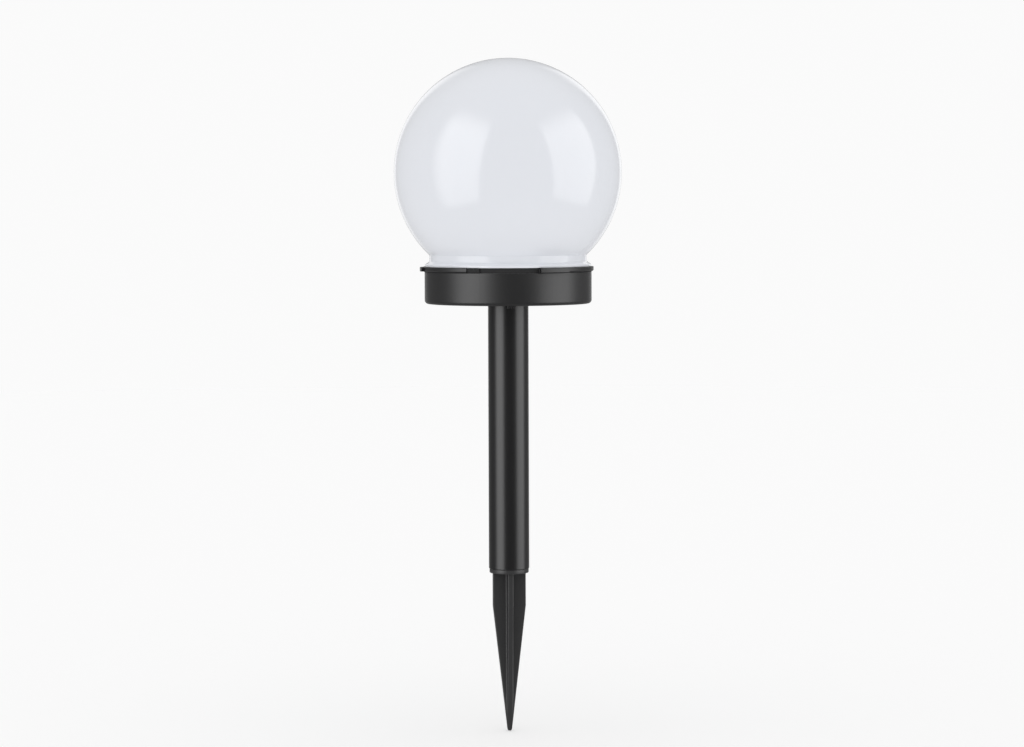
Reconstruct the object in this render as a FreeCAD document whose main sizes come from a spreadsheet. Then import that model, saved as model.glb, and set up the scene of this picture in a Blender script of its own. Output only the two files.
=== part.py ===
import FreeCAD, Part
import math
import os
import re

import Sketcher

# Solar garden light: an opal ball globe held by a bayonet on a black round housing, which plugs into a
# straight tube, which plugs onto a four-finned ground stake. The housing holds an AAA cell, a driver
# board with eight lamps, a slide switch and, under the globe, a small solar panel.
# Millimetres, +Z up. The origin is the centre of the stake collar's underside: the fins go down
# from there into the ground, and everything else stands above it. -Y is the front.

Vector = FreeCAD.Vector
doc = FreeCAD.newDocument("GardenLight")

# ------------------------------------------------------------------ driving dimensions

SIZES = [
    # stake and tube
    ("collar_radius", 8.6, "stake collar, outside"),
    ("collar_thick", 2.0, "stake collar, height"),
    ("edge_break", 0.4, "small chamfer on moulded edges"),
    ("fin_half", 7.25, "half the width across two fins"),
    ("fin_thick", 2.4, "fin thickness"),
    ("fin_straight", 14.5, "parallel part of the fins"),
    ("stake_depth", 70.0, "collar underside to tip"),
    ("tip_radius", 1.0, "rounding of the stake tip"),
    ("tube_radius", 8.85, "tube, outside"),
    ("tube_bore", 7.7, "tube, inside"),
    ("tube_length", 116.0, "tube, end to end"),
    ("spigot_core", 7.1, "spigot body, outside"),
    ("spigot_wall", 1.2, "spigot wall"),
    ("spigot_length", 20.0, "spigot, inside the tube"),
    ("spigot_ribs", 6, "grip ribs on each spigot"),
    ("rib_width", 1.0, "grip rib and stop rib width"),
    ("fit_gap", 0.05, "running fit, on the radius"),
    # cup
    ("cup_radius", 36.4, "cup, outside"),
    ("cup_wall", 1.8, "cup wall and floor"),
    ("cup_depth", 14.0, "cup, outside height"),
    ("cup_round", 1.6, "cup bottom corner radius"),
    ("screw_circle", 30.3, "radius of the housing screw circle"),
    ("cup_boss_radius", 3.6, "screw boss in the cup"),
    ("cup_boss_height", 2.7, "screw boss above the floor"),
    ("counterbore_radius", 2.6, "housing screw counterbore"),
    ("counterbore_depth", 2.6, "housing screw counterbore"),
    # battery and its seats
    ("cell_radius", 5.25, "battery, over the sleeve"),
    ("cell_length", 44.5, "battery, with its nub"),
    ("cell_shift", 2.0, "battery middle, off the axis"),
    ("cell_lift", 6.05, "battery axis above the cup floor"),
    ("sleeve_thick", 0.15, "battery sleeve"),
    ("sleeve_inset", 0.55, "sleeve end back from the can end"),
    ("nub_radius", 1.9, "positive nub"),
    ("nub_height", 0.8, "positive nub"),
    ("can_round", 0.5, "chamfer on the can ends"),
    ("tray_thick", 0.7, "battery tray floor"),
    ("saddle_spread", 12.0, "battery saddle from the middle"),
    ("seat_half", 6.0, "half width of saddles and end walls"),
    ("seat_thick", 1.6, "saddle and end wall thickness"),
    ("end_wall_height", 7.4, "end walls above the cup floor"),
    ("contact_reach", 24.65, "end wall face from the middle"),
    ("contact_thick", 0.4, "contact plates"),
    ("contact_half", 4.0, "half width of a contact plate"),
    ("contact_height", 9.5, "contact plate height"),
    ("spring_coil", 3.0, "battery spring, coil radius"),
    ("spring_wire", 0.35, "battery spring, wire radius"),
    ("spring_pitch", 1.1, "battery spring"),
    # deck and ring
    ("ring_radius", 37.3, "visible ring, outside"),
    ("ring_height", 2.15, "visible ring"),
    ("ring_chamfer", 0.6, "ring, lower outer edge"),
    ("ear_radius", 38.45, "grip ears on the ring"),
    ("ear_span", 21.4, "grip ear, degrees"),
    ("ear_turn", -63.8, "first ear, degrees from +X"),
    ("window_span", 50.0, "recessed window in the ring, degrees"),
    ("window_radius", 36.0, "face of the recessed window"),
    ("block_span", 9.0, "step at the far end of each window, degrees"),
    ("block_radius", 36.7, "face of that step"),
    ("deck_radius", 34.4, "deck collar inside the cup"),
    ("collar_drop", 4.4, "deck collar below the cup rim"),
    ("deck_wall", 1.6, "deck walls"),
    ("channel_outer", 32.8, "bayonet channel, outside"),
    ("channel_inner", 28.6, "bayonet channel, inside"),
    ("lip_radius", 31.2, "bayonet lip, inside"),
    ("lip_thick", 2.05, "bayonet lip"),
    ("deck_rise", 1.45, "deck plate above the ring"),
    ("deck_boss_radius", 2.8, "screw boss under the deck"),
    ("bite_depth", 5.5, "housing screw hole in the deck"),
    ("slot_span", 23.0, "bayonet entry slot, degrees"),
    ("lug_span", 20.0, "bayonet lug, degrees"),
    ("lug_turn", -30.0, "first lug when locked, degrees"),
    ("unlock_turn", 26.0, "twist that frees the globe, degrees"),
    ("stop_play", 0.8, "free turn at each stop, degrees"),
    ("globe_groove", 33.6, "globe seal groove, inside"),
    ("groove_width", 1.6, "globe seal groove"),
    ("groove_depth", 0.9, "globe seal groove"),
    ("oring_radius", 0.5, "cup seal section"),
    ("oring_seat", 33.55, "cup seal groove, bottom"),
    ("oring_lift", 0.3, "cup seal groove above the collar foot"),
    # board, lamps and panel
    ("board_radius", 26.6, "circuit board"),
    ("board_thick", 1.2, "circuit board"),
    ("board_drop", 1.2, "board top below the deck plate"),
    ("board_boss", 2.5, "board screw boss"),
    ("board_screw_reach", 14.0, "board screws from the middle, both ways"),
    ("lamp_circle", 23.5, "radius of the lamp circle"),
    ("lamp_spread", 17.0, "lamps each side of an axis, degrees"),
    ("lamp_radius", 2.5, "lamp barrel"),
    ("lamp_flange", 2.9, "lamp flange"),
    ("lamp_flange_height", 1.0, "lamp flange"),
    ("lamp_height", 8.6, "lamp, flange to dome top"),
    ("lamp_hole", 2.65, "lamp hole in the deck"),
    ("leg_radius", 0.25, "lamp leg"),
    ("leg_hole", 0.35, "lamp leg hole in the board"),
    ("leg_half", 1.27, "half the leg spacing"),
    ("leg_length", 2.2, "lamp leg below the flange"),
    ("recess_half", 18.0, "half width of the panel recess"),
    ("recess_depth", 0.5, "panel recess"),
    ("panel_half", 17.7, "half width of the solar panel"),
    ("pad_thick", 0.4, "foam pad under the panel"),
    ("panel_board", 1.0, "panel base board"),
    ("panel_cell_thick", 0.3, "solar cells"),
    ("panel_cell_wide", 8.0, "solar cell, across"),
    ("panel_cell_half", 16.5, "solar cell, half its length"),
    ("panel_cell_pitch", 8.4, "solar cell spacing"),
    ("panel_cover", 1.2, "resin over the panel board"),
    ("panel_lead_x", 4.0, "panel leads each side of the middle"),
    ("panel_lead_y", 15.0, "panel leads behind the middle"),
    ("lead_radius", 0.5, "insulated leads"),
    ("lead_hole", 0.8, "holes for the leads"),
    # globe
    ("globe_radius", 49.6, "ball, outside"),
    ("globe_wall", 1.4, "ball wall"),
    ("globe_lift", 40.85, "ball centre above the ring"),
    ("neck_radius", 34.3, "globe neck, outside"),
    ("flange_radius", 36.25, "globe flange, outside"),
    ("flange_height", 2.2, "globe flange, to the top of its slope"),
    ("flange_edge", 1.0, "globe flange, upright edge"),
    ("flange_web", 1.45, "flange plate inside the neck"),
    ("skirt_inner", 29.8, "bayonet skirt, inside"),
    ("skirt_outer", 31.0, "bayonet skirt, outside"),
    ("skirt_drop", 4.55, "skirt below the flange"),
    ("lug_radius", 32.6, "bayonet lugs, outside"),
    ("lug_lift", 0.4, "lug above the skirt foot"),
    ("lug_height", 1.8, "bayonet lugs"),
    # slide switch
    ("switch_reach", 22.0, "switch in front of the axis"),
    ("slot_half_x", 3.2, "knob slot, half its length"),
    ("slot_half_y", 1.65, "knob slot, half its width"),
    ("switch_travel", 2.0, "knob travel"),
    ("frame_half_x", 8.2, "switch frame"),
    ("frame_half_y", 2.6, "switch frame"),
    ("frame_thick", 0.5, "switch frame"),
    ("switch_screw_x", 6.2, "switch screws from the knob"),
    ("switch_half_x", 4.3, "switch body"),
    ("switch_half_y", 2.2, "switch body"),
    ("switch_height", 4.2, "switch body"),
    ("stem_half", 1.0, "knob stem"),
    ("stem_rise", 1.8, "knob stem inside the switch body"),
    ("thumb_half_x", 1.5, "knob thumb piece"),
    ("thumb_half_y", 1.3, "knob thumb piece"),
    ("thumb_proud", 1.4, "thumb piece below the cup floor"),
    ("grip_pitch", 0.9, "grip grooves on the thumb piece"),
    ("terminal_pitch", 2.5, "switch terminals"),
    ("terminal_half", 0.6, "terminal, half its width"),
    ("terminal_thick", 0.4, "terminal"),
    ("terminal_rise", 2.7, "terminal above the switch body"),
    ("lead_bend", 1.5, "bend radius of the switch leads"),
    ("lead_straight", 0.9, "straight start of the switch leads"),
    ("battery_lead_z", 8.6, "battery leads above the cup floor"),
    ("battery_lead_start", 3.2, "battery leads start, off the middle"),
    ("battery_bend", 2.2, "bend radius of the battery leads"),
    ("battery_lead_turn", 2.4, "bend start, past the middle"),
    # screws
    ("screw_spare", 0.1, "clearance hole over the shank, on the radius"),
    ("housing_head", 2.3, "housing screw head"),
    ("housing_head_tall", 1.7, "housing screw head"),
    ("housing_shank", 1.3, "housing screw shank"),
    ("housing_length", 7.0, "housing screw under the head"),
    ("board_head", 1.9, "board screw head"),
    ("board_head_tall", 1.3, "board screw head"),
    ("board_shank", 0.95, "board screw shank"),
    ("board_length", 2.9, "board screw under the head"),
    ("switch_head", 1.7, "switch screw head"),
    ("switch_head_tall", 1.0, "switch screw head"),
    ("switch_shank", 0.95, "switch screw shank"),
    ("switch_length", 1.7, "switch screw under the head"),
    ("cross_reach", 0.6, "cross recess, share of the head radius"),
    ("cross_slot", 0.13, "half the cross recess slot, share of the head radius"),
    # driver parts under the board
    ("chip_long", 4.9, "driver chip"),
    ("chip_wide", 3.9, "driver chip"),
    ("chip_tall", 1.5, "driver chip"),
    ("chip_x", 4.0, "driver chip, near corner"),
    ("chip_y", 10.0, "driver chip, near corner"),
    ("inductor_radius", 2.6, "inductor flanges"),
    ("inductor_tall", 3.2, "inductor"),
    ("inductor_x", -8.0, "inductor"),
    ("inductor_y", 12.0, "inductor"),
    ("capacitor_radius", 2.5, "capacitor can"),
    ("capacitor_tall", 5.0, "capacitor can"),
    ("capacitor_x", -9.0, "capacitor"),
    ("capacitor_y", -12.0, "capacitor"),
    ("resistor_radius", 1.2, "resistor ends"),
    ("resistor_tall", 3.2, "resistor"),
    ("resistor_x", 8.0, "resistor"),
    ("resistor_y", -10.0, "resistor"),
]

sheet = doc.addObject("Spreadsheet::Sheet", "Sizes")
for row, (alias, size, note) in enumerate(SIZES, 1):
    sheet.set("A%d" % row, note)
    sheet.set("B%d" % row, str(size))
    sheet.setAlias("B%d" % row, alias)
doc.recompute()

ALIASES = {alias for alias, size, note in SIZES}

# Levels that follow from the driving dimensions, as expressions.
TUBE_TOP = "(collar_thick + tube_length)"
FLOOR = "(%s + cup_wall)" % TUBE_TOP
RIM = "(%s + cup_depth)" % TUBE_TOP
RING_TOP = "(%s + ring_height)" % RIM
DECK_FOOT = "(%s - collar_drop)" % RIM
CHANNEL_FLOOR = "(%s + deck_wall)" % DECK_FOOT
LIP_UNDER = "(%s - lip_thick)" % RING_TOP
DECK_TOP = "(%s + deck_rise)" % RING_TOP
DECK_UNDER = "(%s - deck_wall)" % DECK_TOP
BOARD_TOP = "(%s - board_drop)" % DECK_UNDER
BOARD_UNDER = "(%s - board_thick)" % BOARD_TOP
PANEL_FLOOR = "(%s - recess_depth)" % DECK_TOP
PANEL_BOARD = "(%s + pad_thick)" % PANEL_FLOOR
PANEL_CELLS = "(%s + panel_board)" % PANEL_BOARD
CELL_AXIS = "(%s + cell_lift)" % FLOOR
BOSS_TOP = "(%s + cup_boss_height)" % FLOOR
GLOBE_CENTRE = "(%s + globe_lift)" % RING_TOP
SKIRT_FOOT = "(%s - skirt_drop)" % RING_TOP
SWITCH_FOOT = "(%s + frame_thick)" % FLOOR
SWITCH_TOP = "(%s + switch_height)" % SWITCH_FOOT

THREE_WAYS = 3
FOUR_WAYS = 4
BURY = "edge_break"  # how far an added feature starts inside the one that carries it


# ------------------------------------------------------------------ helpers


def in_sheet(expression):
    """The expression with every alias written out as a cell of the sheet."""
    return re.sub(r"[a-z_]+", lambda word: "Sizes." + word[0] if word[0] in ALIASES else word[0], expression)


def size_of(expression):
    return float(sheet.evalExpression(in_sheet(expression)))


def bind(thing, name, expression):
    thing.setExpression(name, in_sheet(expression))


def new_body(label):
    body = doc.addObject("PartDesign::Body", label)
    body.Label = label
    return body


def origin_part(body, role):
    return [part for part in body.Origin.OriginFeatures if part.Role == role][0]


def new_sketch(body, name, plane="XY_Plane", lift="0", rise="0", turn="0"):
    """A sketch on an origin plane, lifted off it along its normal, moved up in it, and turned in it."""
    sketch = body.newObject("Sketcher::SketchObject", name)
    sketch.AttachmentSupport = [(origin_part(body, plane), "")]
    sketch.MapMode = "FlatFace"
    bind(sketch, "AttachmentOffset.Base.z", lift)
    bind(sketch, "AttachmentOffset.Base.y", rise)
    bind(sketch, "AttachmentOffset.Rotation.Angle", turn)
    return sketch


def pin_point(sketch, geometry, end, across, up):
    """Ties a point of the sketch to the two distances from the sketch's origin."""
    for kind, expression in (("DistanceX", across), ("DistanceY", up)):
        number = sketch.addConstraint(
            Sketcher.Constraint(kind, -1, 1, geometry, end, size_of(expression))
        )
        bind(sketch, "Constraints[%d]" % number, expression)


def arc_between(here, there, radius, side):
    """The short arc from one point to the other, turning left or right on the way."""
    chord = there - here
    left = Vector(-chord.y, chord.x, 0).normalize()
    reach = math.sqrt(max(radius**2 - (chord.Length / 2) ** 2, 0.0))
    centre = (here + there) * 0.5 + left * (reach if side == "left" else -reach)
    start, finish = (here, there) if side == "left" else (there, here)
    start_angle = math.atan2(start.y - centre.y, start.x - centre.x)
    finish_angle = math.atan2(finish.y - centre.y, finish.x - centre.x)
    return Part.ArcOfCircle(Part.Circle(centre, Vector(0, 0, 1), radius), start_angle, finish_angle)


def outline(sketch, corners, closed=True):
    """Draws lines and arcs from corner to corner. A corner is (across, up), or (across, up, radius,
    side) where an arc that turns to that side leads to the next corner. All are expressions."""
    spots = [Vector(size_of(corner[0]), size_of(corner[1]), 0) for corner in corners]
    pieces = len(corners) if closed else len(corners) - 1
    first_end, last_end = {}, {}
    for index in range(pieces):
        corner = corners[index]
        here = spots[index]
        there = spots[(index + 1) % len(spots)]
        if len(corner) == 2:
            number = sketch.addGeometry(Part.LineSegment(here, there), False)
            first_end[index], last_end[index] = (number, 1), (number, 2)
            continue
        arc = arc_between(here, there, size_of(corner[2]), corner[3])
        number = sketch.addGeometry(arc, False)
        ends = [(number, 1), (number, 2)]
        first_end[index], last_end[index] = ends if corner[3] == "left" else ends[::-1]
        radius = sketch.addConstraint(Sketcher.Constraint("Radius", number, size_of(corner[2])))
        bind(sketch, "Constraints[%d]" % radius, corner[2])
    for index in range(pieces):
        pin_point(sketch, first_end[index][0], first_end[index][1], *corners[index][:2])
        if index or closed:
            before = last_end[(index - 1) % pieces]
            sketch.addConstraint(Sketcher.Constraint("Coincident", *before, *first_end[index]))
    if not closed:
        pin_point(sketch, last_end[pieces - 1][0], last_end[pieces - 1][1], *corners[-1][:2])


def rectangle(sketch, left, right, low, high):
    outline(sketch, [(left, low), (right, low), (right, high), (left, high)])


def circle(sketch, across, up, radius):
    centre = Vector(size_of(across), size_of(up), 0)
    number = sketch.addGeometry(Part.Circle(centre, Vector(0, 0, 1), size_of(radius)), False)
    reach = sketch.addConstraint(Sketcher.Constraint("Radius", number, size_of(radius)))
    bind(sketch, "Constraints[%d]" % reach, radius)
    pin_point(sketch, number, 3, across, up)


def sector(sketch, inner, outer, middle, span):
    """A piece of a flat ring about the origin, from middle - span / 2 to middle + span / 2 degrees."""
    start = "(%s - (%s) / 2)" % (middle, span)
    finish = "(%s + (%s) / 2)" % (middle, span)

    def at(radius, angle):
        return "(%s) * cos(%s)" % (radius, angle), "(%s) * sin(%s)" % (radius, angle)

    outline(sketch, [
        at(inner, start),
        at(outer, start) + (outer, "left"),
        at(outer, finish),
        at(inner, finish) + (inner, "right"),
    ])


def revolve(body, sketch, name, axis="V_Axis"):
    feature = body.newObject("PartDesign::Revolution", name)
    feature.Profile = sketch
    feature.ReferenceAxis = (sketch, [axis])
    feature.Angle = 360
    return feature


def pad(body, sketch, name, length, symmetric=False):
    feature = body.newObject("PartDesign::Pad", name)
    feature.Profile = sketch
    bind(feature, "Length", length)
    if symmetric:
        feature.SideType = "Symmetric"
    return feature


def pocket(body, sketch, name, depth, upward=False, symmetric=False):
    """Cuts downwards from the sketch, or upwards."""
    feature = body.newObject("PartDesign::Pocket", name)
    feature.Profile = sketch
    feature.Reversed = upward
    bind(feature, "Length", depth)
    if symmetric:
        feature.SideType = "Symmetric"
    return feature


def around(body, feature, name, count):
    """Repeats a feature evenly about the vertical axis."""
    pattern = body.newObject("PartDesign::PolarPattern", name)
    pattern.Originals = [feature]
    pattern.Axis = (origin_part(body, "Z_Axis"), [""])
    pattern.Angle = 360
    bind(pattern, "Occurrences", str(count))
    body.Tip = pattern
    return pattern


def mirror_across(body, feature, name):
    """Repeats a feature on the other side of the YZ plane."""
    mirrored = body.newObject("PartDesign::Mirrored", name)
    mirrored.Originals = [feature]
    mirrored.MirrorPlane = (origin_part(body, "YZ_Plane"), [""])
    body.Tip = mirrored
    return mirrored


def round_edges(body, name, radius, wanted, kind="PartDesign::Fillet"):
    """Fillets or chamfers every edge of the body so far that the test accepts."""
    doc.recompute()
    base = body.Tip
    names = ["Edge%d" % number for number, edge in enumerate(base.Shape.Edges, 1) if wanted(edge)]
    feature = body.newObject(kind, name)
    feature.Base = (base, names)
    bind(feature, "Radius" if kind.endswith("Fillet") else "Size", radius)
    return feature


def place(thing, x="0", y="0", z="0"):
    for axis, expression in (("x", x), ("y", y), ("z", z)):
        bind(thing, "Placement.Base." + axis, expression)


def new_box(label, low, high):
    """A Part::Box between two corners, each three expressions."""
    box = doc.addObject("Part::Box", label)
    box.Label = label
    for name, start, finish in zip(("Length", "Width", "Height"), low, high):
        bind(box, name, "(%s) - (%s)" % (finish, start))
    place(box, *low)
    return box


def new_set(label, members):
    """Identical pieces that share one file."""
    group = doc.addObject("Part::Compound", label)
    group.Label = label
    group.Links = members
    return group


def new_cylinder(label, radius, x, y, low, high):
    cylinder = doc.addObject("Part::Cylinder", label)
    cylinder.Label = label
    bind(cylinder, "Radius", radius)
    bind(cylinder, "Height", "(%s) - (%s)" % (high, low))
    place(cylinder, x, y, low)
    return cylinder


# ------------------------------------------------------------------ stake and tube


def grip_ribs(body, low):
    """Ribs along a spigot that take up the play in the tube."""
    rib = new_sketch(body, "GripRib", lift=low)
    rectangle(rib, "spigot_core - spigot_wall / 2", "tube_bore - fit_gap", "-rib_width / 2", "rib_width / 2")
    first = pad(body, rib, "FirstGripRib", "spigot_length - 2 * edge_break")
    around(body, first, "GripRibs", "spigot_ribs")


def make_stake():
    """Collar and hollow spigot, turned about the axis, with a cross of two tapering blades below."""
    body = new_body("ground_stake")
    top = "collar_thick + spigot_length"
    profile = new_sketch(body, "CollarProfile", "XZ_Plane")
    outline(profile, [
        ("0", "0"),
        ("collar_radius - edge_break", "0"),
        ("collar_radius", "edge_break"),
        ("collar_radius", "collar_thick - edge_break"),
        ("collar_radius - edge_break", "collar_thick"),
        ("spigot_core", "collar_thick"),
        ("spigot_core", top + " - edge_break"),
        ("spigot_core - edge_break", top),
        ("spigot_core - spigot_wall", top),
        ("spigot_core - spigot_wall", "collar_thick"),
        ("0", "collar_thick"),
    ])
    revolve(body, profile, "Collar")
    grip_ribs(body, "collar_thick")
    for plane in ("XZ_Plane", "YZ_Plane"):
        blade = new_sketch(body, "Blade" + plane[:2], plane)
        outline(blade, [
            ("-fin_half", BURY),
            ("-fin_half", "-fin_straight"),
            ("-tip_radius", "tip_radius - stake_depth", "tip_radius", "left"),
            ("0", "-stake_depth", "tip_radius", "left"),
            ("tip_radius", "tip_radius - stake_depth"),
            ("fin_half", "-fin_straight"),
            ("fin_half", BURY),
        ])
        pad(body, blade, "Fins" + plane[:2], "fin_thick", symmetric=True)


def make_tube():
    body = new_body("stem_tube")
    profile = new_sketch(body, "TubeProfile", "XZ_Plane")
    soft = "edge_break / 2"
    outline(profile, [
        ("tube_bore", "collar_thick"),
        ("tube_radius - " + soft, "collar_thick"),
        ("tube_radius", "collar_thick + " + soft),
        ("tube_radius", TUBE_TOP + " - " + soft),
        ("tube_radius - " + soft, TUBE_TOP),
        ("tube_bore", TUBE_TOP),
    ])
    revolve(body, profile, "Tube")


# ------------------------------------------------------------------ cup


def make_cup():
    """Round cup with a spigot below it, and the screw bosses and the switch's slot in its floor."""
    body = new_body("base_cup")
    profile = new_sketch(body, "CupProfile", "XZ_Plane")
    inner = "cup_radius - cup_wall"
    outline(profile, [
        ("0", TUBE_TOP),
        ("cup_radius - cup_round", TUBE_TOP, "cup_round", "left"),
        ("cup_radius", TUBE_TOP + " + cup_round"),
        ("cup_radius", RIM),
        (inner, RIM),
        (inner, FLOOR),
        ("0", FLOOR),
    ])
    revolve(body, profile, "Cup")

    spigot = new_sketch(body, "SpigotProfile", "XZ_Plane")
    foot = TUBE_TOP + " - spigot_length"
    outline(spigot, [
        ("spigot_core - spigot_wall", foot),
        ("spigot_core - edge_break", foot),
        ("spigot_core", foot + " + edge_break"),
        ("spigot_core", "%s + %s" % (TUBE_TOP, BURY)),
        ("spigot_core - spigot_wall", "%s + %s" % (TUBE_TOP, BURY)),
    ])
    revolve(body, spigot, "Spigot")
    grip_ribs(body, foot + " + 2 * edge_break")

    boss = new_sketch(body, "BossCircle", lift="%s - %s" % (FLOOR, BURY))
    circle(boss, "0", "screw_circle", "cup_boss_radius")
    around(body, pad(body, boss, "Boss", "cup_boss_height + " + BURY), "Bosses", THREE_WAYS)
    for name, radius, depth in (
        ("Counterbore", "counterbore_radius", "counterbore_depth"),
        ("ScrewHole", "housing_shank + screw_spare", "cup_wall + cup_boss_height"),
    ):
        hole = new_sketch(body, name + "Circle", lift=TUBE_TOP)
        circle(hole, "0", "screw_circle", radius)
        around(body, pocket(body, hole, name, depth, upward=True), name + "s", THREE_WAYS)

    slot = new_sketch(body, "KnobSlotOutline", lift=TUBE_TOP, rise="-switch_reach")
    rectangle(slot, "-slot_half_x", "slot_half_x", "-slot_half_y", "slot_half_y")
    pocket(body, slot, "KnobSlot", "cup_wall", upward=True)
    bite = new_sketch(body, "SwitchScrewCircles", lift=FLOOR, rise="-switch_reach")
    for side in ("-", ""):
        circle(bite, side + "switch_screw_x", "0", "switch_shank + fit_gap")
    pocket(body, bite, "SwitchScrewHoles", "cup_wall - edge_break")


def make_battery_tray():
    """Floor strip with two saddles under the cell and an end wall behind each contact plate."""
    body = new_body("battery_tray")
    strip = new_sketch(body, "StripOutline", lift=FLOOR)
    end = "(contact_reach + seat_thick)"
    rectangle(strip, "-" + end, end, "-seat_half", "seat_half")
    pad(body, strip, "Strip", "tray_thick")

    seat = "cell_radius + fit_gap"
    saddle = new_sketch(body, "SaddleOutline", "YZ_Plane", lift="saddle_spread")
    outline(saddle, [
        ("-seat_half", FLOOR),
        ("seat_half", FLOOR),
        ("seat_half", CELL_AXIS),
        (seat, CELL_AXIS, seat, "right"),
        ("0", "%s - (%s)" % (CELL_AXIS, seat), seat, "right"),
        ("-(%s)" % seat, CELL_AXIS),
        ("-seat_half", CELL_AXIS),
    ])
    mirror_across(body, pad(body, saddle, "Saddle", "seat_thick", symmetric=True), "Saddles")

    wall = new_sketch(body, "EndWallOutline", "YZ_Plane", lift="contact_reach")
    rectangle(wall, "-seat_half", "seat_half", FLOOR, FLOOR + " + end_wall_height")
    mirror_across(body, pad(body, wall, "EndWall", "seat_thick"), "EndWalls")


# ------------------------------------------------------------------ deck


def make_deck():
    """Top-hat deck: the plate carries the panel and lamps, the channel takes the globe's bayonet, the
    ring sits on the cup rim and its collar drops inside the cup."""
    body = new_body("deck")
    soft = "edge_break / 2"
    profile = new_sketch(body, "DeckProfile", "XZ_Plane")
    groove_low = "%s + oring_lift" % DECK_FOOT
    groove_high = "%s + oring_lift + 2 * oring_radius" % DECK_FOOT
    outline(profile, [
        ("channel_inner - deck_wall", DECK_FOOT),
        ("deck_radius", DECK_FOOT),
        ("deck_radius", groove_low),
        ("oring_seat", groove_low),
        ("oring_seat", groove_high),
        ("deck_radius", groove_high),
        ("deck_radius", RIM),
        ("ring_radius - ring_chamfer", RIM),
        ("ring_radius", RIM + " + ring_chamfer"),
        ("ring_radius", "%s - %s" % (RING_TOP, soft)),
        ("ring_radius - " + soft, RING_TOP),
        ("globe_groove + groove_width", RING_TOP),
        ("globe_groove + groove_width", RING_TOP + " - groove_depth"),
        ("globe_groove", RING_TOP + " - groove_depth"),
        ("globe_groove", RING_TOP),
        ("lip_radius", RING_TOP),
        ("lip_radius", LIP_UNDER),
        ("channel_outer", LIP_UNDER),
        ("channel_outer", CHANNEL_FLOOR),
        ("channel_inner", CHANNEL_FLOOR),
        ("channel_inner", DECK_TOP),
        ("0", DECK_TOP),
        ("0", DECK_UNDER),
        ("channel_inner - deck_wall", DECK_UNDER),
    ])
    revolve(body, profile, "TopHat")

    ear = new_sketch(body, "EarOutline", lift=RIM + " + " + soft)
    sector(ear, "ring_radius - ring_chamfer", "ear_radius", "ear_turn", "ear_span")
    around(body, pad(body, ear, "Ear", "ring_height - 2 * " + soft), "Ears", THREE_WAYS)

    window = new_sketch(body, "WindowOutline", lift=RING_TOP)
    window_turn = "ear_turn - ear_span / 2 - window_span / 2"
    sector(window, "window_radius", "ear_radius + edge_break", window_turn, "window_span")
    around(body, pocket(body, window, "Window", "ring_height"), "Windows", THREE_WAYS)
    block = new_sketch(body, "BlockOutline", lift=RIM + " + " + soft)
    block_turn = "ear_turn - ear_span / 2 - window_span + block_span / 2"
    sector(block, "window_radius - " + BURY, "block_radius", block_turn, "block_span")
    around(body, pad(body, block, "Block", "ring_height - 2 * " + soft), "Blocks", THREE_WAYS)

    entry = new_sketch(body, "EntrySlotOutline", lift=RING_TOP)
    sector(entry, "lip_radius - deck_wall", "channel_outer", "lug_turn + unlock_turn", "slot_span")
    around(body, pocket(body, entry, "EntrySlot", "lip_thick"), "EntrySlots", THREE_WAYS)

    stop_reach = "rib_width / 2 / channel_outer * 180 / pi"
    locked = "lug_turn - lug_span / 2 - stop_play - " + stop_reach
    freed = "lug_turn + unlock_turn + lug_span / 2 + stop_play + " + stop_reach
    for name, turn in (("LockStop", locked), ("FreeStop", freed)):
        stop = new_sketch(body, name + "Outline", lift="%s - %s" % (CHANNEL_FLOOR, BURY), turn=turn)
        reach = ("skirt_outer + 2 * " + soft, "channel_outer + " + BURY)
        rectangle(stop, *reach, "-rib_width / 2", "rib_width / 2")
        height = "%s - %s + 2 * %s" % (LIP_UNDER, CHANNEL_FLOOR, BURY)
        around(body, pad(body, stop, name, height), name + "s", THREE_WAYS)

    boss = new_sketch(body, "BossCircle", lift=BOSS_TOP)
    circle(boss, "0", "screw_circle", "deck_boss_radius")
    boss_height = "%s - %s + %s" % (DECK_FOOT, BOSS_TOP, BURY)
    around(body, pad(body, boss, "Boss", boss_height), "Bosses", THREE_WAYS)
    bite = new_sketch(body, "BiteCircle", lift=BOSS_TOP)
    circle(bite, "0", "screw_circle", "housing_shank + fit_gap")
    around(body, pocket(body, bite, "Bite", "bite_depth", upward=True), "Bites", THREE_WAYS)

    recess = new_sketch(body, "RecessOutline", lift=DECK_TOP)
    rectangle(recess, "-recess_half", "recess_half", "-recess_half", "recess_half")
    pocket(body, recess, "PanelRecess", "recess_depth")

    standoff = new_sketch(body, "StandoffCircles", lift=BOARD_TOP)
    board_holes(standoff, "board_boss")
    pad(body, standoff, "Standoffs", "board_drop + " + BURY)
    board_bite = new_sketch(body, "BoardBiteCircles", lift=BOARD_TOP)
    board_holes(board_bite, "board_shank + fit_gap")
    pocket(body, board_bite, "BoardBites", "board_drop + deck_wall / 2 - recess_depth / 2", upward=True)

    lamps = new_sketch(body, "LampCircles", lift=DECK_TOP)
    for side in ("-", ""):
        angle = side + "lamp_spread"
        circle(lamps, "lamp_circle * cos(%s)" % angle, "lamp_circle * sin(%s)" % angle, "lamp_hole")
    around(body, pocket(body, lamps, "LampHoles", "deck_wall"), "AllLampHoles", FOUR_WAYS)

    leads = new_sketch(body, "LeadCircles", lift=DECK_TOP)
    lead_holes(leads)
    pocket(body, leads, "LeadHoles", "deck_wall")


def board_holes(sketch, radius):
    circle(sketch, "-board_screw_reach", "board_screw_reach", radius)
    circle(sketch, "board_screw_reach", "-board_screw_reach", radius)


def lead_holes(sketch):
    for side in ("-", ""):
        circle(sketch, side + "panel_lead_x", "panel_lead_y", "lead_hole")


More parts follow.
